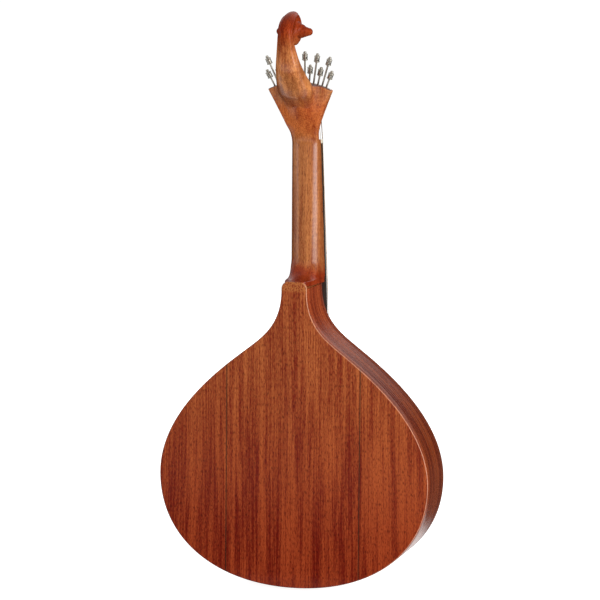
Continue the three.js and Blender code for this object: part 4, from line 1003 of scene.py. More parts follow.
class GUITAR_OT_soundboard(bpy.types.Operator):
    """Makes the soundboard with its purfling and rosette"""
    bl_idname = "guitar.soundboard"
    bl_label = "Soundboard"

    def execute(self, context):
        body = now.body
        board = loft([[at(p.x, front_depth(p.y) - level, p.y) for p in outline()]
                      for level in (body.top_thickness, 0.0)])
        board = cut(rounded(board, 0.4 * MM, 3, 60), front_disc(body.hole_radius))
        channel = front_ring(body.rosette_inner - body.glue, body.rosette_outer + body.glue,
                             body.rosette_thickness + body.glue, 5 * MM)
        piece("spruce_soundboard", cut(board, channel), wood("Soundboard spruce"), ["soundboard"])
        ring = front_ring(body.rosette_inner, body.rosette_outer, body.rosette_thickness, 0.0, 0.08 * MM)
        piece("inlaid_rosette", ring, rosette_material(), ["rosette"])
        piece("purfling", front_band(*PURFLING_INSETS, PURFLING_PROUD), wood("Ebony"))
        return {"FINISHED"}


class GUITAR_OT_rests(bpy.types.Operator):
    """Rounds the edges of the nut, bridge, saddle, end rest and tailpiece"""
    bl_idname = "guitar.rests"
    bl_label = "Bridge, rests and tailpiece"

    def execute(self, context):
        for node, width, material, slot in (
                ("nut", 0.25 * MM, plain("Bone"), "bone"), ("saddle", 0.25 * MM, plain("Bone"), "bone"),
                ("end_rest", 0.35 * MM, plain("Bone"), "bone"), ("bridge", 0.5 * MM, wood("Ebony"), "bridge"),
                ("tailpiece", 0.15 * MM, plain("Nickel"), "tailpiece")):
            piece(f"rounded_{node}", softened(node, width), material, [node])
        return {"FINISHED"}


# Fingerboard

DOT_FRETS, OCTAVE, OCTAVE_DOTS = (5, 7, 10, 12, 15, 17), 12, (-7 * MM, 7 * MM)
DOT_RADIUS, DOT_THICKNESS = 2.3 * MM, 0.4 * MM


def under_depth(rise):
    """Depth of the fingerboard's underside"""
    body, neck = now.body, now.neck
    return front_depth(rise) + body.glue if rise < BODY_LENGTH else face_depth(rise) - neck.board


def along_scale(distance):
    """Height of a place at a distance from the nut along the strings"""
    return nut_height() - distance * math.cos(now.neck.fall)


def fret_height(number):
    return along_scale(now.neck.scale * (1 - 2 ** (-number / OCTAVE)))


def crown(part):
    return now.neck.crown * (1 - part * part)


def board_ring(rise):
    """A level section of the fingerboard, crowned on top"""
    steps = 12
    half, floor = board_half(rise), under_depth(rise)
    top = [at(half * (1 - 2 * i / steps), face_depth(rise) + crown(1 - 2 * i / steps), rise)
           for i in range(steps + 1)]
    return [at(-half, floor, rise), at(half, floor, rise)] + top


def fret(number):
    """A rounded wire across the crowned board"""
    neck = now.neck
    rise, steps, sides = fret_height(number), 16, 8
    half = board_half(rise) - neck.fret_inset
    rings = []
    for i in range(steps + 1):
        part = 2 * i / steps - 1
        lift = neck.fret_height * (1 - abs(part) ** 24 * 0.75)
        bow = [math.pi * k / sides for k in range(sides + 1)]
        ring = [at(half * part, face_depth(rise) + crown(part) + lift * math.sin(a) ** 0.8,
                   rise + neck.fret_width / 2 * math.cos(a)) for a in bow]
        low = face_depth(rise) + crown(part) - 0.4 * MM
        rings.append(ring + [at(half * part, low, rise - neck.fret_width / 2),
                             at(half * part, low, rise + neck.fret_width / 2)])
    return loft(rings)


def dot(x, rise):
    """A disc let into the crowned board"""
    bm = bmesh.new()
    bmesh.ops.create_cone(bm, cap_ends=True, segments=32, radius1=DOT_RADIUS, radius2=DOT_RADIUS,
                          depth=DOT_THICKNESS)
    rounded(bm, 0.06 * MM, 2)
    part = x / board_half(rise)
    turn = Matrix.Rotation(math.pi / 2 + now.neck.fall, 4, "X")
    place = at(x, face_depth(rise) + crown(part) - 0.13 * MM, rise)
    bmesh.ops.transform(bm, matrix=Matrix.Translation(place) @ turn, verts=bm.verts)
    return bm


class GUITAR_OT_fingerboard(bpy.types.Operator):
    """Makes the fingerboard with its frets and position dots"""
    bl_idname = "guitar.fingerboard"
    bl_label = "Fingerboard"

    def execute(self, context):
        neck = now.neck
        low = along_scale(neck.board_length)
        rises = [low, mix(low, BODY_LENGTH, 0.5), BODY_LENGTH - 1 * MM, BODY_LENGTH, nut_height()]
        board = rounded(loft([board_ring(rise) for rise in rises]), 0.4 * MM, 2, 40)
        piece("ebony_fingerboard", board, wood("Ebony"), ["fingerboard"])
        wires = joined([fret(n + 1) for n in range(neck.frets)])
        piece("frets", wires, plain("Steel"), sharp=50)
        dots = []
        for number in DOT_FRETS:
            rise = (fret_height(number) + fret_height(number - 1)) / 2
            dots += [dot(x, rise) for x in (OCTAVE_DOTS if number == OCTAVE else (0.0,))]
        piece("position_dots", joined(dots), plain("Pearl"))
        return {"FINISHED"}


# Neck, fan head and scroll

HEAD_BACK_SHARES = ((0, 0), (0.2, 0), (0.63, 1), (1, 1))
STEM_FRONT_SHARES = ((0.45, 0.02), (0.6, 0.36), (0.76, 0.882), (1, 0.882))
STEM_START_SHARE, STEM_ROOT_SHARE, STEM_ROOT_END_SHARE = 0.3, 0.55, 0.28
STEM_SQUARENESS, CREST_SQUARENESS, STEM_BELLY_SHARE, VOLUTE_BELLY_SHARE = 0.85, 1.15, 0.5, 0.82
HEAD_END_SHARE = 0.64
SHAFT_POWER, HEEL_POWER, RIDGE_POWER, RIM_RIDGE_POWER, HEEL_CURVE_POWER = 2.2, 5, 2, 5, 2.5
STEM_TAPER_POWER, VOLUTE_STEP_POWER, STEM_FLUTE = 1.25, 1.35, 1.5
VOLUTE_OPENING, VOLUTE_CLOSING, VOLUTE_SETTLE = 40, 540, 120
VOLUTE_SPREAD, VOLUTE_END, VOLUTE_SPLIT = 300, 500, 300
WEB_START, WEB_END, WEB_STEP = 60, 390, 6
ROOM = 0.4


def nut_height():
    return BODY_LENGTH + now.neck.length


def face_depth(rise):
    """Depth of the fingerboard's face, without its crown"""
    body, neck = now.body, now.neck
    return body.neck_depth + body.glue + neck.board - math.tan(neck.fall) * (rise - BODY_LENGTH)


def neck_front(rise):
    """Depth of the neck's flat front under the fingerboard or the soundboard"""
    body, neck = now.body, now.neck
    if rise > BODY_LENGTH:
        return face_depth(rise) - neck.board - body.glue
    return front_depth(rise) - body.top_thickness - body.glue


def board_half(rise):
    neck = now.neck
    return mix(neck.joint_half, neck.nut_half, (rise - BODY_LENGTH) / neck.length)


def back_at_nut():
    return neck_front(nut_height()) - now.neck.at_nut


def back_at_joint():
    return now.body.neck_depth - now.neck.at_joint


def head_point(shares, part):
    """A depth and a rise on the head's side view"""
    p = bezier(shares, part)
    return Vector((back_at_nut() - now.head.sweep * p.y, nut_height() + now.head.rise * p.x))


def fan_depth(rise):
    """Depth of the plane in which the screws lie"""
    head, tuner = now.head, now.tuner
    return tuner.apex_depth - math.tan(head.lean) * (rise - nut_height() + tuner.apex_below)


def fan_frame():
    """The fan's own frame: screws lie in the plane y = 0 and spread from its origin"""
    head, tuner = now.head, now.tuner
    place = at(0, tuner.apex_depth, nut_height() - tuner.apex_below)
    return Matrix.Translation(place) @ Matrix.Rotation(-head.lean, 4, "X")


def neck_half(rise):
    """Half the neck's width, which flares into the fan over the nut"""
    neck, head = now.neck, now.head
    over = rise - nut_height() - head.flare_start
    flare = math.tan(head.flare_slope) * over * over / (over + head.flare_ease) if over > 0 else 0
    return neck.nut_half + flare if rise > nut_height() else board_half(rise)


def neck_ring(rise, back):
    """A level section of the neck: flat front, short sides, and a back that turns from a
    box at the heel through a round shaft to a narrow ridge behind the fan"""
    body, neck, head, tuner = now.body, now.neck, now.head, now.tuner
    steps = 40
    nut = nut_height()
    front, half = neck_front(rise), neck_half(rise)
    heel = 1 - eased(rise, BODY_LENGTH, BODY_LENGTH + neck.heel_rise)
    fan = eased(rise, nut, nut + tuner.radius - tuner.apex_below)
    edge = eased(rise, nut, nut + head.edge_rise)
    side = mix(front - neck.side, fan_depth(rise) - head.edge_behind, edge)
    back_half = mix(half, body.tab_half, heel)
    power = mix(SHAFT_POWER, HEEL_POWER, heel)
    ring = []
    for i in range(steps + 1):
        part = -math.cos(math.pi * i / steps)
        curve = (1 - min(1, abs(part) ** power)) ** (1 / power)
        ridge = max(0, math.cos(math.pi / 2 * part)) ** mix(RIDGE_POWER, RIM_RIDGE_POWER, fan)
        reach = mix(curve, ridge, fan)
        ring.append(at(part * mix(half, back_half, reach), side - (side - back) * reach, rise))
    return ring + [at(half, front, rise), at(-half, front, rise)]


def neck_shaft():
    """The neck from its foot at the body to the top of the fan"""
    body, neck, head, tuner = now.body, now.neck, now.head, now.tuner
    nut = nut_height()
    seat = body.back_thickness + body.glue
    rings = [neck_ring(BODY_LENGTH - neck.heel_seat, seat), neck_ring(BODY_LENGTH, seat)]
    heel_steps, shaft_steps, head_steps = 16, 10, 44
    for i in range(heel_steps + 1):
        part = (i / heel_steps) ** 2
        rise = mix(BODY_LENGTH + body.glue, BODY_LENGTH + neck.heel_rise, part)
        curve = (1 - (1 - part) ** HEEL_CURVE_POWER) ** (1 / HEEL_CURVE_POWER)
        rings.append(neck_ring(rise, mix(seat, back_at_joint(), curve)))
    for i in range(1, shaft_steps + 1):
        part = i / shaft_steps
        rise = mix(BODY_LENGTH + neck.heel_rise, nut, part)
        rings.append(neck_ring(rise, mix(back_at_joint(), back_at_nut(), part)))
    for i in range(1, head_steps + 1):
        depth, rise = head_point(HEAD_BACK_SHARES, HEAD_END_SHARE * i / head_steps)
        sink = head.ridge_sink * eased(rise, nut, nut + tuner.radius - tuner.apex_below)
        rings.append(neck_ring(rise, depth + sink))
    return loft(rings)


def rim_room():
    """The room inside the fan's round rim, and all that lies below it"""
    radius = now.tuner.radius + now.head.rim_cover
    reach = math.radians(70)
    steps = 64
    arc = [(radius * math.sin(a), radius * math.cos(a)) for a in
           (mix(-reach, reach, i / steps) for i in range(steps + 1))]
    profile = arc + [(ROOM, 0), (ROOM, -2 * ROOM), (-ROOM, -2 * ROOM), (-ROOM, 0)]
    place = fan_frame()
    return loft([[place @ Vector((x, y, z)) for x, z in profile] for y in (-ROOM, ROOM)])


def face_room():
    """The space in front of the head's leaning face, above the ledge behind the nut"""
    body, neck, head, tuner = now.body, now.neck, now.head, now.tuner
    ledge = nut_height() + body.glue + neck.nut
    high = nut_height() + 2 * head.rise
    front = (tuner.half_depth + tuner.plate) / math.cos(head.lean)
    return across([(fan_depth(ledge) + front, ledge), (fan_depth(high) + front, high), (ROOM, high),
                   (ROOM, ledge)], ROOM)


def fan_sector(inner, outer, half_angle, near, far):
    """A piece of a ring about the fan's point, between two depths"""
    steps = 24
    place = fan_frame()
    profile = []
    for radius, way in ((outer, 1), (inner, -1)):
        for i in range(steps + 1):
            turn = way * mix(-half_angle, half_angle, i / steps)
            profile.append((radius * math.sin(turn), radius * math.cos(turn)))
    return loft([[place @ Vector((x, y, z)) for x, z in profile] for y in (near, far)])


def ear_room():
    """The room over the casing, wider than it, so that the wood beside it ends level with its top"""
    body, tuner = now.body, now.tuner
    return fan_sector(tuner.radius + body.glue, tuner.radius + 20 * MM, math.radians(60), -20 * MM,
                      tuner.half_depth + body.glue)


def pocket():
    """The room that the casing takes from the head"""
    body, tuner = now.body, now.tuner
    return fan_sector(tuner.inner - body.glue, tuner.radius + 20 * MM, tuner.half_angle + tuner.gap, -20 * MM,
                      tuner.half_depth + body.glue)


def stem_ring(back, front, half, belly, flute, square=STEM_SQUARENESS):
    """A section of the stem with a fine line cut along each edge of its back"""
    steps = 44
    ring = []
    for i in range(steps):
        turn = 2 * math.pi * i / steps
        c, s = math.cos(turn), math.sin(turn)
        groove = flute * math.exp(-((abs(c) - 0.78) / 0.11) ** 2) if s < 0 else 0
        out = math.copysign(abs(c) ** square, c)
        fore = belly + (1 - belly if s > 0 else -belly) * abs(s) ** square
        depth, rise = mix(back, front, fore) + (front - back).normalized() * groove
        ring.append(at(half * out - math.copysign(groove, c), depth, rise))
    return ring


def stem():
    """The stem from the fan's back up to the scroll"""
    head = now.head
    steps = 48
    rings = []
    for i in range(steps + 1):
        part = i / steps
        back = head_point(HEAD_BACK_SHARES, mix(STEM_START_SHARE, 1, part))
        share_up = (back.y - nut_height()) / head.rise
        back.x -= head.swell * eased(share_up, 0.22, 0.5) * (1 - eased(share_up, 0.62, 0.88))
        front = head_point(STEM_FRONT_SHARES, part)
        half = head.stem_half + head.root_spread * (1 - part) ** STEM_TAPER_POWER
        size = mix(STEM_ROOT_SHARE, 1, min(1, part / STEM_ROOT_END_SHARE))
        middle = mix(back, front, STEM_BELLY_SHARE)
        rings.append(stem_ring(mix(middle, back, size), mix(middle, front, size), half * size,
                               STEM_BELLY_SHARE, STEM_FLUTE * head.flute * eased(part, 0.45, 0.8)))
    return loft(rings)


def volute_point(degrees, inward=0.0):
    """A depth and a rise on the scroll; zero is straight behind the eye, and it turns over the top"""
    head = now.head
    opening = (head.volute_back - head.volute) / (1 + (degrees / VOLUTE_OPENING) ** 2)
    radius = opening + head.volute - head.closing * degrees / VOLUTE_CLOSING - inward
    turn = math.radians(degrees)
    return Vector((back_at_nut() - head.sweep + head.volute_back - radius * math.cos(turn),
                   nut_height() + head.rise + radius * math.sin(turn)))


def volute_turn(first, last, steps):
    """The scroll's band between two angles"""
    head = now.head
    rings = []
    for i in range(steps + 1):
        degrees = mix(first, last, (i / steps) ** VOLUTE_STEP_POWER)
        fade = eased(degrees, 0, VOLUTE_SETTLE)
        band = mix(head.stem_thickness, head.band, fade)
        belly = mix(STEM_BELLY_SHARE, VOLUTE_BELLY_SHARE, fade)
        spread = eased(degrees, VOLUTE_SPREAD, VOLUTE_END)
        half = mix(mix(head.stem_half, head.crest_half, fade), head.eye_shoulder, spread)
        rings.append(stem_ring(volute_point(degrees), volute_point(degrees, band), half, belly, head.flute,
                               mix(STEM_SQUARENESS, CREST_SQUARENESS, fade)))
    return loft(rings)


def volute_web():
    """The thin wood that closes the room between the scroll's turns"""
    head = now.head
    middle = [volute_point(d, head.band / 2) for d in range(WEB_START, WEB_END + 1, WEB_STEP)]
    return loft([[at(x, depth, rise) for depth, rise in middle] for x in (-head.web_half, head.web_half)])


def scroll_eye():
    """The turned eye, a lathe profile spun about the axis across the scroll"""
    head = now.head
    depth, rise = back_at_nut() - head.sweep + head.volute_back, nut_height() + head.rise
    half, steps = head.eye_length / 2, 8
    profile = [(head.eye_base, 0.0), (head.eye_base, head.stem_half)]
    for i in range(steps + 1):
        turn = math.pi / 2 * i / steps
        profile.append((head.eye_tip * math.cos(turn), half - head.eye_tip + head.eye_tip * math.sin(turn)))
    bm = bmesh.new()
    for way in (1, -1):
        verts = [bm.verts.new(at(way * out, depth + radius, rise)) for radius, out in profile]
        edges = [bm.edges.new(pair) for pair in zip(verts, verts[1:])]
        bmesh.ops.spin(bm, geom=verts + edges, cent=at(0, depth, rise), axis=(1, 0, 0), dvec=(0, 0, 0),
                       angle=2 * math.pi, steps=32, use_merge=True)
    bmesh.ops.remove_doubles(bm, verts=bm.verts, dist=0.01 * MM)
    bmesh.ops.recalc_face_normals(bm, faces=bm.faces)
    return bm


class GUITAR_OT_neck(bpy.types.Operator):
    """Carves the neck, fan head and scroll from one piece"""
    bl_idname = "guitar.neck"
    bl_label = "Neck and scroll"

    def execute(self, context):
        shaft = cut(cut(cut(kept_in(neck_shaft(), rim_room()), face_room()), pocket()), ear_room())
        foot = cut(cut(stem(), face_room()), pocket())
        whole = joined([shaft, foot, volute_turn(0, VOLUTE_SPLIT, 48),
                        volute_turn(VOLUTE_SPLIT - 2 * WEB_STEP, VOLUTE_END, 32), volute_web(), scroll_eye()])
        carved = shaped(whole, mode="VOXEL", voxel_size=now.head.voxel)
        for _ in range(4):
            bmesh.ops.smooth_vert(carved, verts=carved.verts, factor=0.5, use_axis_x=True, use_axis_y=True,
                                  use_axis_z=True)
        piece("carved_neck", carved, wood("Neck wood"), ["neck"], sharp=60)
        return {"FINISHED"}


# Fan tuner

def from_middle(index):
    """A screw's place on its own side of the fan, counted from zero at the middle"""
    return abs(index - (STRING_COUNT - 1) / 2) - 0.5


def screw_angle(index):
    tuner = now.tuner
    return math.copysign(tuner.middle + tuner.step * from_middle(index), index - (STRING_COUNT - 1) / 2)


def screw_mesh(index):
    """A screw with its thread, collar, shaft and milled knob, along its own Z"""
    body, tuner = now.body, now.tuner
    low = (tuner.long_knob if from_middle(index) % 2 == 0 else tuner.short_knob) - tuner.knob_length / 2
    high = low + tuner.knob_length
    knob, button = tuner.knob / 2, tuner.button / 2
    collar_top = tuner.radius - tuner.wall - body.glue
    count = 2 * tuner.flutes
    waist, milled = 0.74 * knob, 0.9 * knob
    rows = [(tuner.shaft, collar_top - 1.2 * MM, 0), (tuner.shaft, low - 0.1 * MM, 0),
            (knob - 0.4 * MM, low, 0), (knob, low + 0.35 * MM, 0), (knob, low + 1.25 * MM, 0),
            (knob - 0.3 * MM, low + 1.55 * MM, 0), (waist, low + 1.6 * MM, 0), (waist, low + 2.1 * MM, 0),
            (milled - 0.3 * MM, low + 2.2 * MM, 0), (milled, low + 2.5 * MM, 1), (milled, high - 2.5 * MM, 1),
            (milled - 0.3 * MM, high - 2.2 * MM, 0), (waist, high - 2.1 * MM, 0), (waist, high - 1.6 * MM, 0),
            (knob - 0.3 * MM, high - 1.55 * MM, 0), (knob, high - 1.25 * MM, 0), (knob, high - 0.35 * MM, 0),
            (knob - 0.4 * MM, high, 0), (1.4 * MM, high + 0.15 * MM, 0), (1.2 * MM, high + 0.7 * MM, 0),
            (0.85 * button, high + 0.9 * MM, 0), (button, high + 1.4 * MM, 0), (button, high + 2.5 * MM, 0),
            (0.82 * button, high + 3.2 * MM, 0), (0.45 * button, high + tuner.button_length - 0.15 * MM, 0),
            (0.1 * MM, high + tuner.button_length, 0)]
    rings = []
    for radius, rise, cut_in in rows:
        reach = (radius, radius - cut_in * tuner.flute_depth)
        rings.append([Vector((reach[i % 2] * math.cos(2 * math.pi * i / count),
                              reach[i % 2] * math.sin(2 * math.pi * i / count), rise)) for i in range(count)])
    parts = [loft(rings)]
    bm = bmesh.new()
    bmesh.ops.create_cone(bm, cap_ends=True, segments=24, radius1=tuner.collar, radius2=tuner.collar,
                          depth=tuner.collar_length,
                          matrix=Matrix.Translation((0, 0, collar_top - tuner.collar_length / 2)))
    parts.append(rounded(bm, 0.25 * MM, 2))
    thread = bmesh.new()
    start, root = tuner.inner, tuner.thread - 0.22 * MM
    end = collar_top - tuner.collar_length + 0.2 * MM
    turns = int((end - start) / tuner.thread_pitch)
    pitch = (end - start) / turns
    crest = [(root, 0.0), (tuner.thread, 0.5 * pitch), (root, pitch)]
    verts = [thread.verts.new((radius, 0, start + rise)) for radius, rise in crest]
    edges = [thread.edges.new(pair) for pair in zip(verts, verts[1:])]
    bmesh.ops.spin(thread, geom=verts + edges, cent=(0, 0, 0), axis=(0, 0, 1), angle=2 * math.pi * (turns - 1),
                   dvec=(0, 0, pitch / 10), steps=10 * (turns - 1))
    bmesh.ops.remove_doubles(thread, verts=thread.verts, dist=0.01 * MM)
    bmesh.ops.holes_fill(thread, edges=[e for e in thread.edges if e.is_boundary], sides=0)
    parts.append(thread)
    core = bmesh.new()
    bmesh.ops.create_cone(core, cap_ends=True, segments=12, radius1=root, radius2=root, depth=end - start,
                          matrix=Matrix.Translation((0, 0, (start + end) / 2)))
    parts.append(core)
    return joined(parts)


class GUITAR_OT_tuner(bpy.types.Operator):
    """Makes the twelve screws with milled knobs, the hooks and the casing"""
    bl_idname = "guitar.tuner"
    bl_label = "Fan tuner"

    def execute(self, context):
        place = fan_frame()
        for i in range(STRING_COUNT):
            bm = screw_mesh(i)
            bmesh.ops.transform(bm, matrix=place @ Matrix.Rotation(screw_angle(i), 4, "Y"), verts=bm.verts)
            piece(f"milled_screw_{i + 1}", bm, plain("Nickel"), [f"tuner_screw_{i + 1}"],
                  f"screw_{i + 1}", sharp=50)
            hook = softened(f"string_hook_{i + 1}", 0.2 * MM)
            piece(f"rounded_hook_{i + 1}", hook, plain("Nickel"), [f"string_hook_{i + 1}"],
                  f"hook_{i + 1}")
        piece("fan_casing", softened("tuner_plate", 0.25 * MM), plain("Nickel"), ["tuner_plate"])
        return {"FINISHED"}


# Strings

STRING_GAUGES = (0.95, 0.5, 0.8, 0.4, 0.65, 0.35, 0.45, 0.45, 0.35, 0.35, 0.3, 0.3)
WOUND_GAUGE, WIND_PITCH, WIND_SHADE = 0.5, 0.22 * MM, 0.45
TWIST_LENGTH, TWIST_SWELL = 6 * MM, 1.35


def course_x(index, course_spacing, pair_spacing):
    """How far a string lies to the side, from the spacing of courses and of the strings in one"""
    course = index // 2 - (STRING_COUNT / 2 - 1) / 2
    return course * course_spacing + (index % 2 - 0.5) * pair_spacing


def tail_rise(x):
    """How far the curved tail has risen at a distance from the middle"""
    lower = half_outline()
    outer = next(i for i, p in enumerate(lower) if p.x > abs(x))
    low, high = lower[outer - 1], lower[outer]
    return mix(low.y, high.y, (abs(x) - low.x) / (high.x - low.x))


def hook_place(index, out, forward):
    """A point beside a hook, by its distance from the fan's point and before the screws"""
    turn = screw_angle(index)
    return fan_frame() @ Vector((out * math.sin(turn), -forward, out * math.cos(turn)))


def string_route(index):
    """The corners of a string from its hook, over the nut, saddle and end rest, to its pin"""
    body, neck, rig = now.body, now.neck, now.strings
    radius = STRING_GAUGES[index] * MM / 2
    seat = radius + body.glue
    nut_x = course_x(index, rig.nut_course, rig.nut_pair)
    tail_x = course_x(index, rig.saddle_course, rig.saddle_pair)
    nut_depth = face_depth(nut_height()) + neck.crown + rig.nut_lift
    saddle = nut_height() - neck.scale * math.cos(neck.fall)
    saddle_depth = face_depth(saddle) + neck.crown + rig.saddle_lift
    top = body.tail_depth + body.glue + rig.rest_height
    miter = seat * math.tan(math.pi / 8)
    low = -rig.rest_overhang
    outward = -body.glue - rig.tailpiece_thickness + tail_rise(tail_x)
    pin = body.tail_depth - rig.pin_depth - (index % 2) * rig.pin_rows
    return [hook_place(index, rig.hook_radius - rig.post / 2 - body.glue, rig.hook_front),
            at(nut_x, nut_depth, nut_height() + neck.nut), at(tail_x, saddle_depth, saddle),
            at(tail_x, top + seat, rig.rest_length), at(tail_x, top + seat, low + rig.rest_chamfer - miter),
            at(tail_x, top - rig.rest_chamfer + miter, low - seat),
            at(tail_x, pin + rig.pin_radius + body.glue, outward - rig.pin_length / 2)]


def string_tube(points, radius):
    """A tube along the corners, thicker where the string is twisted at its hook, with its
    own length in the map named wrap"""
    sides = 10
    path = [points[0], points[0].lerp(points[1], TWIST_LENGTH / (points[1] - points[0]).length)]
    for a, b, c in zip(points, points[1:], points[2:]):
        near = min(0.7 * MM, (a - b).length / 3, (b - c).length / 3)
        start, end = b + (a - b).normalized() * near, b + (c - b).normalized() * near
        path += [start, (start + end) / 4 + b / 2, end]
    path += [points[-1]]
    rings, runs = [], [0.0]
    for i, p in enumerate(path):
        run = (path[min(i + 1, len(path) - 1)] - path[max(i - 1, 0)]).normalized()
        side = (Vector((1, 0, 0)) - run * run.x).normalized()
        up = run.cross(side)
        size = radius * (TWIST_SWELL if i < 2 else 1.0)
        rings.append([p + (side * math.cos(t) + up * math.sin(t)) * size
                      for t in (2 * math.pi * k / sides for k in range(sides))])
        runs.append(runs[-1] + (path[min(i + 1, len(path) - 1)] - p).length)
    bm = bmesh.new()
    layer = bm.loops.layers.uv.new("wrap")
    where = {v: run for row, run in zip(skin(bm, rings), runs) for v in row}
    for face in bm.faces:
        for loop in face.loops:
            loop[layer].uv = (0.0, where[loop.vert])
    return bm


def eyelet(centre, across_ring, ring, radius):
    """A loop of string round a post"""
    bm = bmesh.new()
    out = across_ring.orthogonal().normalized()
    made = bmesh.ops.create_circle(bm, segments=8, radius=radius)["verts"]
    frame_of_ring = Matrix((out, across_ring.normalized(), out.cross(across_ring.normalized()))).transposed()
    bmesh.ops.transform(bm, matrix=Matrix.Translation(centre + out * ring) @ frame_of_ring.to_4x4(), verts=made)
    bmesh.ops.spin(bm, geom=bm.verts[:] + bm.edges[:], cent=centre, axis=across_ring, dvec=(0, 0, 0),
                   angle=2 * math.pi, steps=24, use_merge=True)
    bmesh.ops.remove_doubles(bm, verts=bm.verts, dist=0.003 * MM)
    bmesh.ops.recalc_face_normals(bm, faces=bm.faces)
    return bm


def wound_material():
    """Bronze wire wound round a core, its turns a ripple along the string"""
    if "Wound bronze" in bpy.data.materials:
        return bpy.data.materials["Wound bronze"]
    bronze = now.finishes.bronze
    material, tree, shader = new_material("Wound bronze")
    along = xyz(tree, add_node(tree, "ShaderNodeUVMap", uv_map="wrap").outputs[0])[1]
    turns = math_node(tree, "SINE", times(tree, along, 2 * math.pi / WIND_PITCH))
    part = ramp(tree, turns, -1.0, 0.4)
    dark = [c * WIND_SHADE for c in bronze[:3]] + [1.0]
    wire(tree, shader, {"Base Color": mixed(tree, part, dark, bronze),
                        "Normal": bumped(tree, turns, 0.4, 0.05 * MM),
                        "Roughness": scaled(tree, part, -0.1, 0.4)}, {"Metallic": 1.0})
    return material


class GUITAR_OT_strings(bpy.types.Operator):
    """Makes the twelve strings with a loop at each end"""
    bl_idname = "guitar.strings"
    bl_label = "Strings"

    def execute(self, context):
        body, rig = now.body, now.strings
        for i, gauge in enumerate(STRING_GAUGES):
            radius = gauge * MM / 2
            route = string_route(i)
            forward = fan_frame().to_3x3() @ Vector((0, -1, 0))
            post = hook_place(i, rig.hook_radius, rig.hook_front)
            tail = route[-1] + Vector((0, rig.pin_radius + body.glue, 0))
            loops = [eyelet(post, forward, rig.post / 2 + body.glue + 0.1 * MM, min(radius, 0.22 * MM)),
                     eyelet(tail, Vector((0, 0, 1)), rig.pin_radius + body.glue, min(radius, 0.28 * MM))]
            bm = joined([string_tube(route, radius), *loops])
            material = wound_material() if gauge >= WOUND_GAUGE else plain("Steel")
            item = piece(f"drawn_string_{i + 1}", bm, material, [f"string_{i + 1}"], body=None)
            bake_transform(item)
        return {"FINISHED"}


# Studio

def area_light(name, place, target, width, height, strength):
    data = bpy.data.lights.new(name, "AREA")
    data.shape, data.size, data.size_y, data.energy = "RECTANGLE", width, height, strength
    item = bpy.data.objects.new(name, data)
    item.visible_camera = False
    bpy.context.collection.objects.link(item)
    item.matrix_world = Matrix.Translation(place) @ (target - place).to_track_quat("-Z", "Y").to_matrix().to_4x4()
    return item


def staged(name, bm, shade, glow=None):
    """A plain matt piece of the studio"""
    mesh = bpy.data.meshes.new(name)
    bm.to_mesh(mesh)
    bm.free()
    item = bpy.data.objects.new(name, mesh)
    bpy.context.collection.objects.link(item)
    material, tree, shader = new_material(name)
    wire(tree, shader, {}, {"Base Color": (shade, shade, shade, 1.0), "Roughness": 0.9, "Specular IOR Level": 0.0})
    if glow:
        shader.inputs["Emission Color"].default_value = (1.0, 1.0, 1.0, 1.0)
        tree.links.new(times(tree, shown_white(tree), glow), shader.inputs["Emission Strength"])
    mesh.materials.append(material)
    return item


def shown_white(tree):
    """One for rays that see the background: camera, glossy and transmission rays"""
    path = add_node(tree, "ShaderNodeLightPath").outputs
    seen = math_node(tree, "MAXIMUM", path["Is Camera Ray"], path["Is Glossy Ray"])
    return math_node(tree, "MAXIMUM", seen, path["Is Transmission Ray"])


def draped(name, profile):
    """A wide dark sheet that only reflections show, along depths and heights"""
    bm = bmesh.new()
    verts, edges = [], []
    for y, z in profile:
        ends = [(way * SHEET_HALF_WIDTH, y, z) for way in (-1, 1)]
        if verts:
            verts, edges = pull_on(bm, verts, edges, ends)
        else:
            verts = [bm.verts.new(end) for end in ends]
            edges = [bm.edges.new(verts)]
    sheet = staged(name, bm, SHEET_SHADE)
    sheet.visible_camera = sheet.visible_diffuse = sheet.visible_shadow = sheet.visible_transmission = False


# Each light's name, power, place from the point that it looks at, width and height
LIGHT_AIM_RISE = 0.32
LIGHTS = (("Key light", "key", (-2.75, 0.62, 0.35), 2.2, 1.9), ("Fill light", "fill", (2.27, 1.5, 0.3), 0.8, 1.7),
          ("Main light", "main", (-0.9, 3.6, 1.7), 2.2, 1.6), ("Front light", "front", (0.5, -2.8, 1.2), 1.6, 1.6))
# The glare of these would be as white as the background
UNREFLECTED = ("Main light", "Front light")
# Depths and heights along each sheet, which stands for the unlit room
SHEETS = {"Dark drape": ((-0.28, 0.004), (-5.0, 0.004), (-5.4, 0.3), (-5.5, 2.0)),
          "Dark carpet": ((9.0, 0.004), (1.15, 0.004)), "Dark runner": ((0.5, 0.004), (0.07, 0.004))}
SHEET_HALF_WIDTH, SHEET_SHADE = 12.0, 0.04
FLOOR_RADIUS, FLOOR_SHADE, FLOOR_GLOW = 80.0, 0.55, 0.93
SENSOR_WIDTH, CLIP_END = 36.0, 200.0


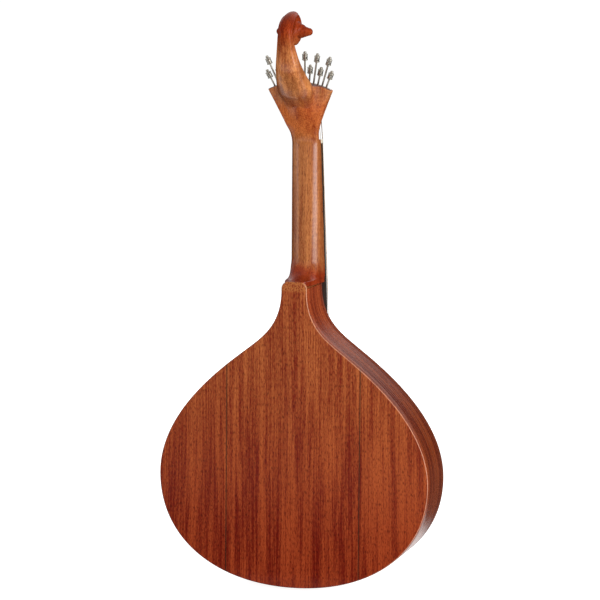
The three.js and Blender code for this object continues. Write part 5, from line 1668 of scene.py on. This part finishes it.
class GUITAR_OT_studio(bpy.types.Operator):
    """Makes the camera, the lights, the floor and the white surroundings"""
    bl_idname = "guitar.studio"
    bl_label = "Studio"

    def execute(self, context):
        studio = now.studio
        scene = context.scene
        scene.view_settings.view_transform = "Standard"
        away = Vector((-math.sin(studio.yaw) * math.cos(studio.pitch), math.cos(studio.yaw) * math.cos(studio.pitch),
                       math.sin(studio.pitch)))
        right = Vector((-away.y, away.x, 0)).normalized()
        up = away.cross(right)
        turn = Matrix.Rotation(studio.roll, 3, away)
        aim = at(-studio.aim_side, 0, studio.aim_rise)
        data = bpy.data.cameras.new("Camera")
        data.sensor_width = SENSOR_WIDTH
        data.lens = data.sensor_width * studio.focal_pixels / IMAGE_WIDTH
        data.clip_end = CLIP_END
        camera = bpy.data.objects.new("Camera", data)
        context.collection.objects.link(camera)
        basis = Matrix((turn @ right, turn @ up, away)).transposed().to_4x4()
        camera.matrix_world = Matrix.Translation(aim + away * studio.distance) @ basis
        scene.camera = camera

        middle = at(0, 0, LIGHT_AIM_RISE)
        for name, word, place, width, height in LIGHTS:
            light = area_light(name, middle + Vector(place), middle, width, height, getattr(studio, word))
            light.visible_glossy = name not in UNREFLECTED

        world = bpy.data.worlds.new("Surroundings")
        scene.world = world
        world.use_nodes = True
        tree = world.node_tree
        strength = math_node(tree, "MAXIMUM", shown_white(tree), studio.ambient)
        tree.links.new(strength, tree.nodes["Background"].inputs["Strength"])
        tree.nodes["Background"].inputs["Color"].default_value = (1.0, 1.0, 1.0, 1.0)

        bm = bmesh.new()
        bmesh.ops.create_circle(bm, cap_ends=True, segments=96, radius=FLOOR_RADIUS)
        staged("Floor", bm, FLOOR_SHADE, FLOOR_GLOW)
        for name, profile in SHEETS.items():
            draped(name, profile)
        return {"FINISHED"}


class GUITAR_PT_panel(bpy.types.Panel):
    """Lists the guitar's pieces"""
    bl_idname = "GUITAR_PT_panel"
    bl_label = "Portuguese guitar"
    bl_space_type = "VIEW_3D"
    bl_region_type = "UI"
    bl_category = "Guitar"

    def draw(self, context):
        for step in STEPS:
            self.layout.operator(step.bl_idname)
        for name in GROUPS:
            self.layout.prop(context.scene, name)


GROUPS = {
    "guitar_body": GuitarBodySizes,
    "guitar_neck": GuitarNeckSizes,
    "guitar_head": GuitarHeadSizes,
    "guitar_tuner": GuitarTunerSizes,
    "guitar_strings": GuitarStringSizes,
    "guitar_finishes": GuitarFinishes,
    "guitar_studio": GuitarStudio,
}
STEPS = (GUITAR_OT_studio, GUITAR_OT_back, GUITAR_OT_ribs, GUITAR_OT_inside, GUITAR_OT_soundboard,
         GUITAR_OT_rests, GUITAR_OT_neck, GUITAR_OT_fingerboard, GUITAR_OT_tuner, GUITAR_OT_strings)
CLASSES = (*GROUPS.values(), *STEPS, GUITAR_PT_panel)


def register():
    for item in CLASSES:
        bpy.utils.register_class(item)
    for name, kind in GROUPS.items():
        setattr(bpy.types.Scene, name, PointerProperty(type=kind))


def unregister():
    for name in GROUPS:
        delattr(bpy.types.Scene, name)
    for item in reversed(CLASSES):
        bpy.utils.unregister_class(item)


def main():
    register()
    for step in STEPS:
        family, name = step.bl_idname.split(".")
        getattr(getattr(bpy.ops, family), name)()
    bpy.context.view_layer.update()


if __name__ == "__main__":
    main()
